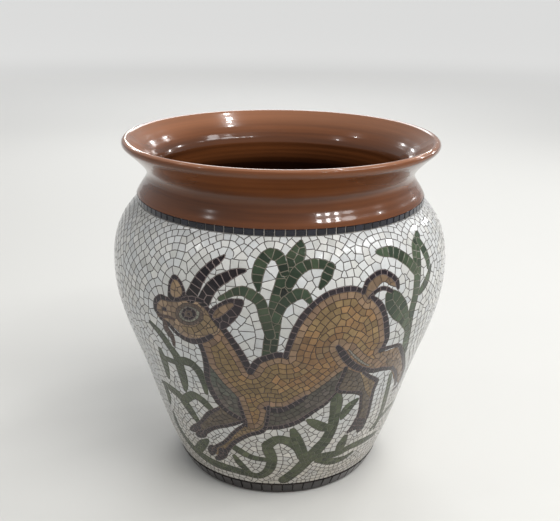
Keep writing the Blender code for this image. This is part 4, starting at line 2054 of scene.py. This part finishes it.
@dataclass
class Studio:
    """Floor, soft lights and the camera at the photograph's angle.

    The camera's distances are shares of the rim's radius, as the fit to the rim gave them. A glint
    is a small lamp: degrees round from the front, degrees up, metres across and watts.
    """

    rim_radius: float = 0.165
    rim_height: float = 0.365
    away: float = 5.1245
    above: float = 0.9711
    aside: float = 0.0016
    pitch: float = 0.3412
    roll: float = -0.0116
    focal_px: float = 813.5
    image_width_px: int = 560
    floor_reach: float = 30.0
    floor_drop: float = 0.0002
    floor_colour: tuple = from_screen(212, 211, 207)
    glow_span: tuple = (0.9, 5.0)
    glow: float = 0.42
    air: float = 0.43
    air_colour: tuple = (0.97, 0.985, 1.0)
    backdrop: tuple = (0.70, 0.70, 0.69)
    lamp_away: float = 2.0
    lamp_height: float = 0.33
    glints: tuple[tuple[float, float, float, float], ...] = (
        (-66, 41, 0.07, 1.5), (-97, 48, 0.06, 1.2), (36, 46, 0.1, 1.6), (44, 44, 0.1, 1.6),
        (52, 42, 0.1, 1.6), (64, 43, 0.4, 3.6), (82, 41, 0.4, 3.6), (91, 31, 0.06, 1.3),
        (94, 67, 0.11, 2.2), (106, 69, 0.11, 2.2), (118, 21, 0.13, 3.0), (131, 11, 0.08, 1.4),
        (143, 31, 0.09, 1.5), (158, 20, 0.07, 1.2), (-150, 24, 0.09, 1.5), (-165, 13, 0.07, 1.2),
    )

    def floor(self) -> None:
        """A plain pale floor that glows faintly far off, so that it meets the air without an edge."""
        reach, low = self.floor_reach, -self.floor_drop
        corners = np.array([[x * reach, y * reach, low] for x, y in ((-1, -1), (1, -1), (1, 1), (-1, 1))])
        floor = mesh_object("floor", corners, [(0, 1, 2, 3)], smooth=False)
        material = bpy.data.materials.new("pale_floor")
        material.use_nodes = True
        maker = NodeMaker(material.node_tree)
        away = maker.node("ShaderNodeVectorMath", {"operation": "LENGTH"}, {0: maker.place()}, "Value")
        glow = maker.grey(maker.led(away, self.glow_span, (0.0, self.glow)))
        shader = material.node_tree.nodes["Principled BSDF"]
        for label, value in (
            ("Base Color", self.floor_colour),
            ("Roughness", 0.7),
            ("Emission Color", glow),
            ("Emission Strength", 1.0),
        ):
            maker.feed(shader.inputs[label], value)
        floor.data.materials.append(material)

    @staticmethod
    def lamp(
        name: str, where: tuple, aim: tuple, size: float, watts: float, colour: tuple = (1.0, 1.0, 1.0)
    ) -> bpy.types.Object:
        """A round area light aimed at a point, which the camera doesn't see.

        Args:
            name: Name of the light.
            where: Its place, in metres.
            aim: The point that it is turned to, in metres.
            size: Its width, in metres.
            watts: Its power.
            colour: Its colour.

        Returns:
            The light.
        """
        data = bpy.data.lights.new(name, "AREA")
        data.shape = "DISK"
        data.size = size
        data.energy = watts
        data.color = colour
        lamp = bpy.data.objects.new(name, data)
        bpy.context.scene.collection.objects.link(lamp)
        lamp.location = where
        lamp.rotation_euler = (Vector(aim) - Vector(where)).to_track_quat("-Z", "Y").to_euler()
        lamp.visible_camera = False
        return lamp

    def round_the_rim(self, turn: float, rise: float) -> tuple[float, float, float]:
        """A lamp's place, at degrees round from the front and degrees up from the rim."""
        angle, slope = math.radians(turn), math.radians(rise)
        level = self.lamp_away * math.cos(slope)
        height = self.lamp_height + self.lamp_away * math.sin(slope)
        return level * math.sin(angle), -level * math.cos(angle), height

    def lights(self) -> None:
        """A pale surround, soft panels, and small lamps that glint in the glaze."""
        world = bpy.data.worlds.new("studio_air")
        world.use_nodes = True
        maker = NodeMaker(world.node_tree)
        air = world.node_tree.nodes["Background"]
        maker.feed(air.inputs["Color"], self.air_colour)
        maker.feed(air.inputs["Strength"], self.air)
        seen = maker.node("ShaderNodeLightPath", {}, {}, "Is Camera Ray")
        pale = maker.node("ShaderNodeBackground", {}, {"Color": self.backdrop, "Strength": 1.0})
        both = maker.node("ShaderNodeMixShader", {}, {0: seen, 1: Socket(maker, air.outputs[0]), 2: pale})
        maker.feed(world.node_tree.nodes["World Output"].inputs["Surface"], both)
        bpy.context.scene.world = world
        broad = self.lamp("broad", (0.7, -1.0, 2.3), (0.0, 0.0, 0.2), 1.6, 30.0, (1.0, 0.99, 0.97))
        broad.visible_glossy = False
        self.lamp("back_panel", (0.0, 2.6, 1.9), (0.0, 0.0, 0.3), 1.5, 26.0, (0.97, 0.98, 1.0))
        aim = (0.0, 0.0, self.lamp_height)
        for number, (turn, rise, size, watts) in enumerate(self.glints):
            self.lamp(f"glint_{number}", self.round_the_rim(turn, rise), aim, size, watts)

    def camera(self) -> None:
        """The camera, placed by the fit of the pot's rim, neck and foot in the photograph."""
        data = bpy.data.cameras.new("camera")
        data.sensor_fit = "HORIZONTAL"
        data.sensor_width = 36.0
        data.lens = self.focal_px * data.sensor_width / self.image_width_px
        camera = bpy.data.objects.new("camera", data)
        bpy.context.scene.collection.objects.link(camera)
        across = np.array([1.0, 0.0, 0.0])
        up = np.array([0.0, math.sin(self.pitch), math.cos(self.pitch)])
        turn, tip = math.cos(self.roll), math.sin(self.roll)
        right, top = turn * across - tip * up, tip * across + turn * up
        where = np.array([self.aside, -self.away, self.above]) * self.rim_radius
        where[2] += self.rim_height
        matrix = Matrix.Identity(4)
        for column, axis in enumerate((right, top, np.cross(right, top), where)):
            for row in range(3):
                matrix[row][column] = axis[row]
        camera.matrix_world = matrix
        bpy.context.scene.camera = camera

    def build(self) -> None:
        """Set the whole stage."""
        self.floor()
        self.lights()
        self.camera()
        bpy.context.scene.view_settings.view_transform = "Standard"


def tile_rings(wall: WallCurve, vessel: Vessel, let_in: float = 0.0011, spare: float = 0.0006) -> None:
    """Lay the collar's ring and the foot's.

    Args:
        wall: The pot's profile.
        vessel: The vessel, which has the height that the foot's ring reaches.
        let_in: How far the tiles' feet lie behind the wall's outer face, in metres.
        spare: Room above and below the tiles of a ring taken together, in metres.
    """
    collar_middle = wall.collar_height + wall.collar_band / 2
    collar_tile = wall.collar_band - spare
    collar = TileRing("collar_tiles", wall.collar_radius - let_in, collar_middle, 0.0, collar_tile, 100)
    collar.finish(DarkTileGlaze().make())
    foot_low = wall.foot_bevel / 2
    foot_middle = (vessel.band_low + foot_low) / 2
    foot_radius = wall.foot_radius + wall.foot_slope * foot_middle - let_in
    lean = math.atan(wall.foot_slope)
    foot_tile = (vessel.band_low - foot_low) / math.cos(lean) - spare
    foot = TileRing("foot_tiles", foot_radius, foot_middle, lean, foot_tile, 64, gap=0.00055, seed=9)
    # The foot's tiles are darker and browner than the collar's: partly their own glaze, partly painted
    # shade of the foot's underside.
    shaded_foot_glaze = DarkTileGlaze("foot_tile_glaze", from_screen(24, 18, 19), from_screen(50, 42, 39))
    foot.finish(shaded_foot_glaze.make())


def main() -> None:
    """Build every piece in order."""
    logging.basicConfig(level=logging.INFO, format="%(name)s: %(message)s")
    wall = WallCurve()
    vessel = Vessel(wall)
    vessel.finish(BrownGlaze().make(), BareClay().make(), TileBed().make())
    flat = Unrolled(wall)
    shapes = Picture().shapes()
    layout = CellLayout(flat, vessel.band_low / MM, wall.collar_height / MM, shapes)
    MosaicSkin(flat, layout).finish(CellGlaze().make())
    tile_rings(wall, vessel)
    Studio().build()


if __name__ == "__main__":
    main()
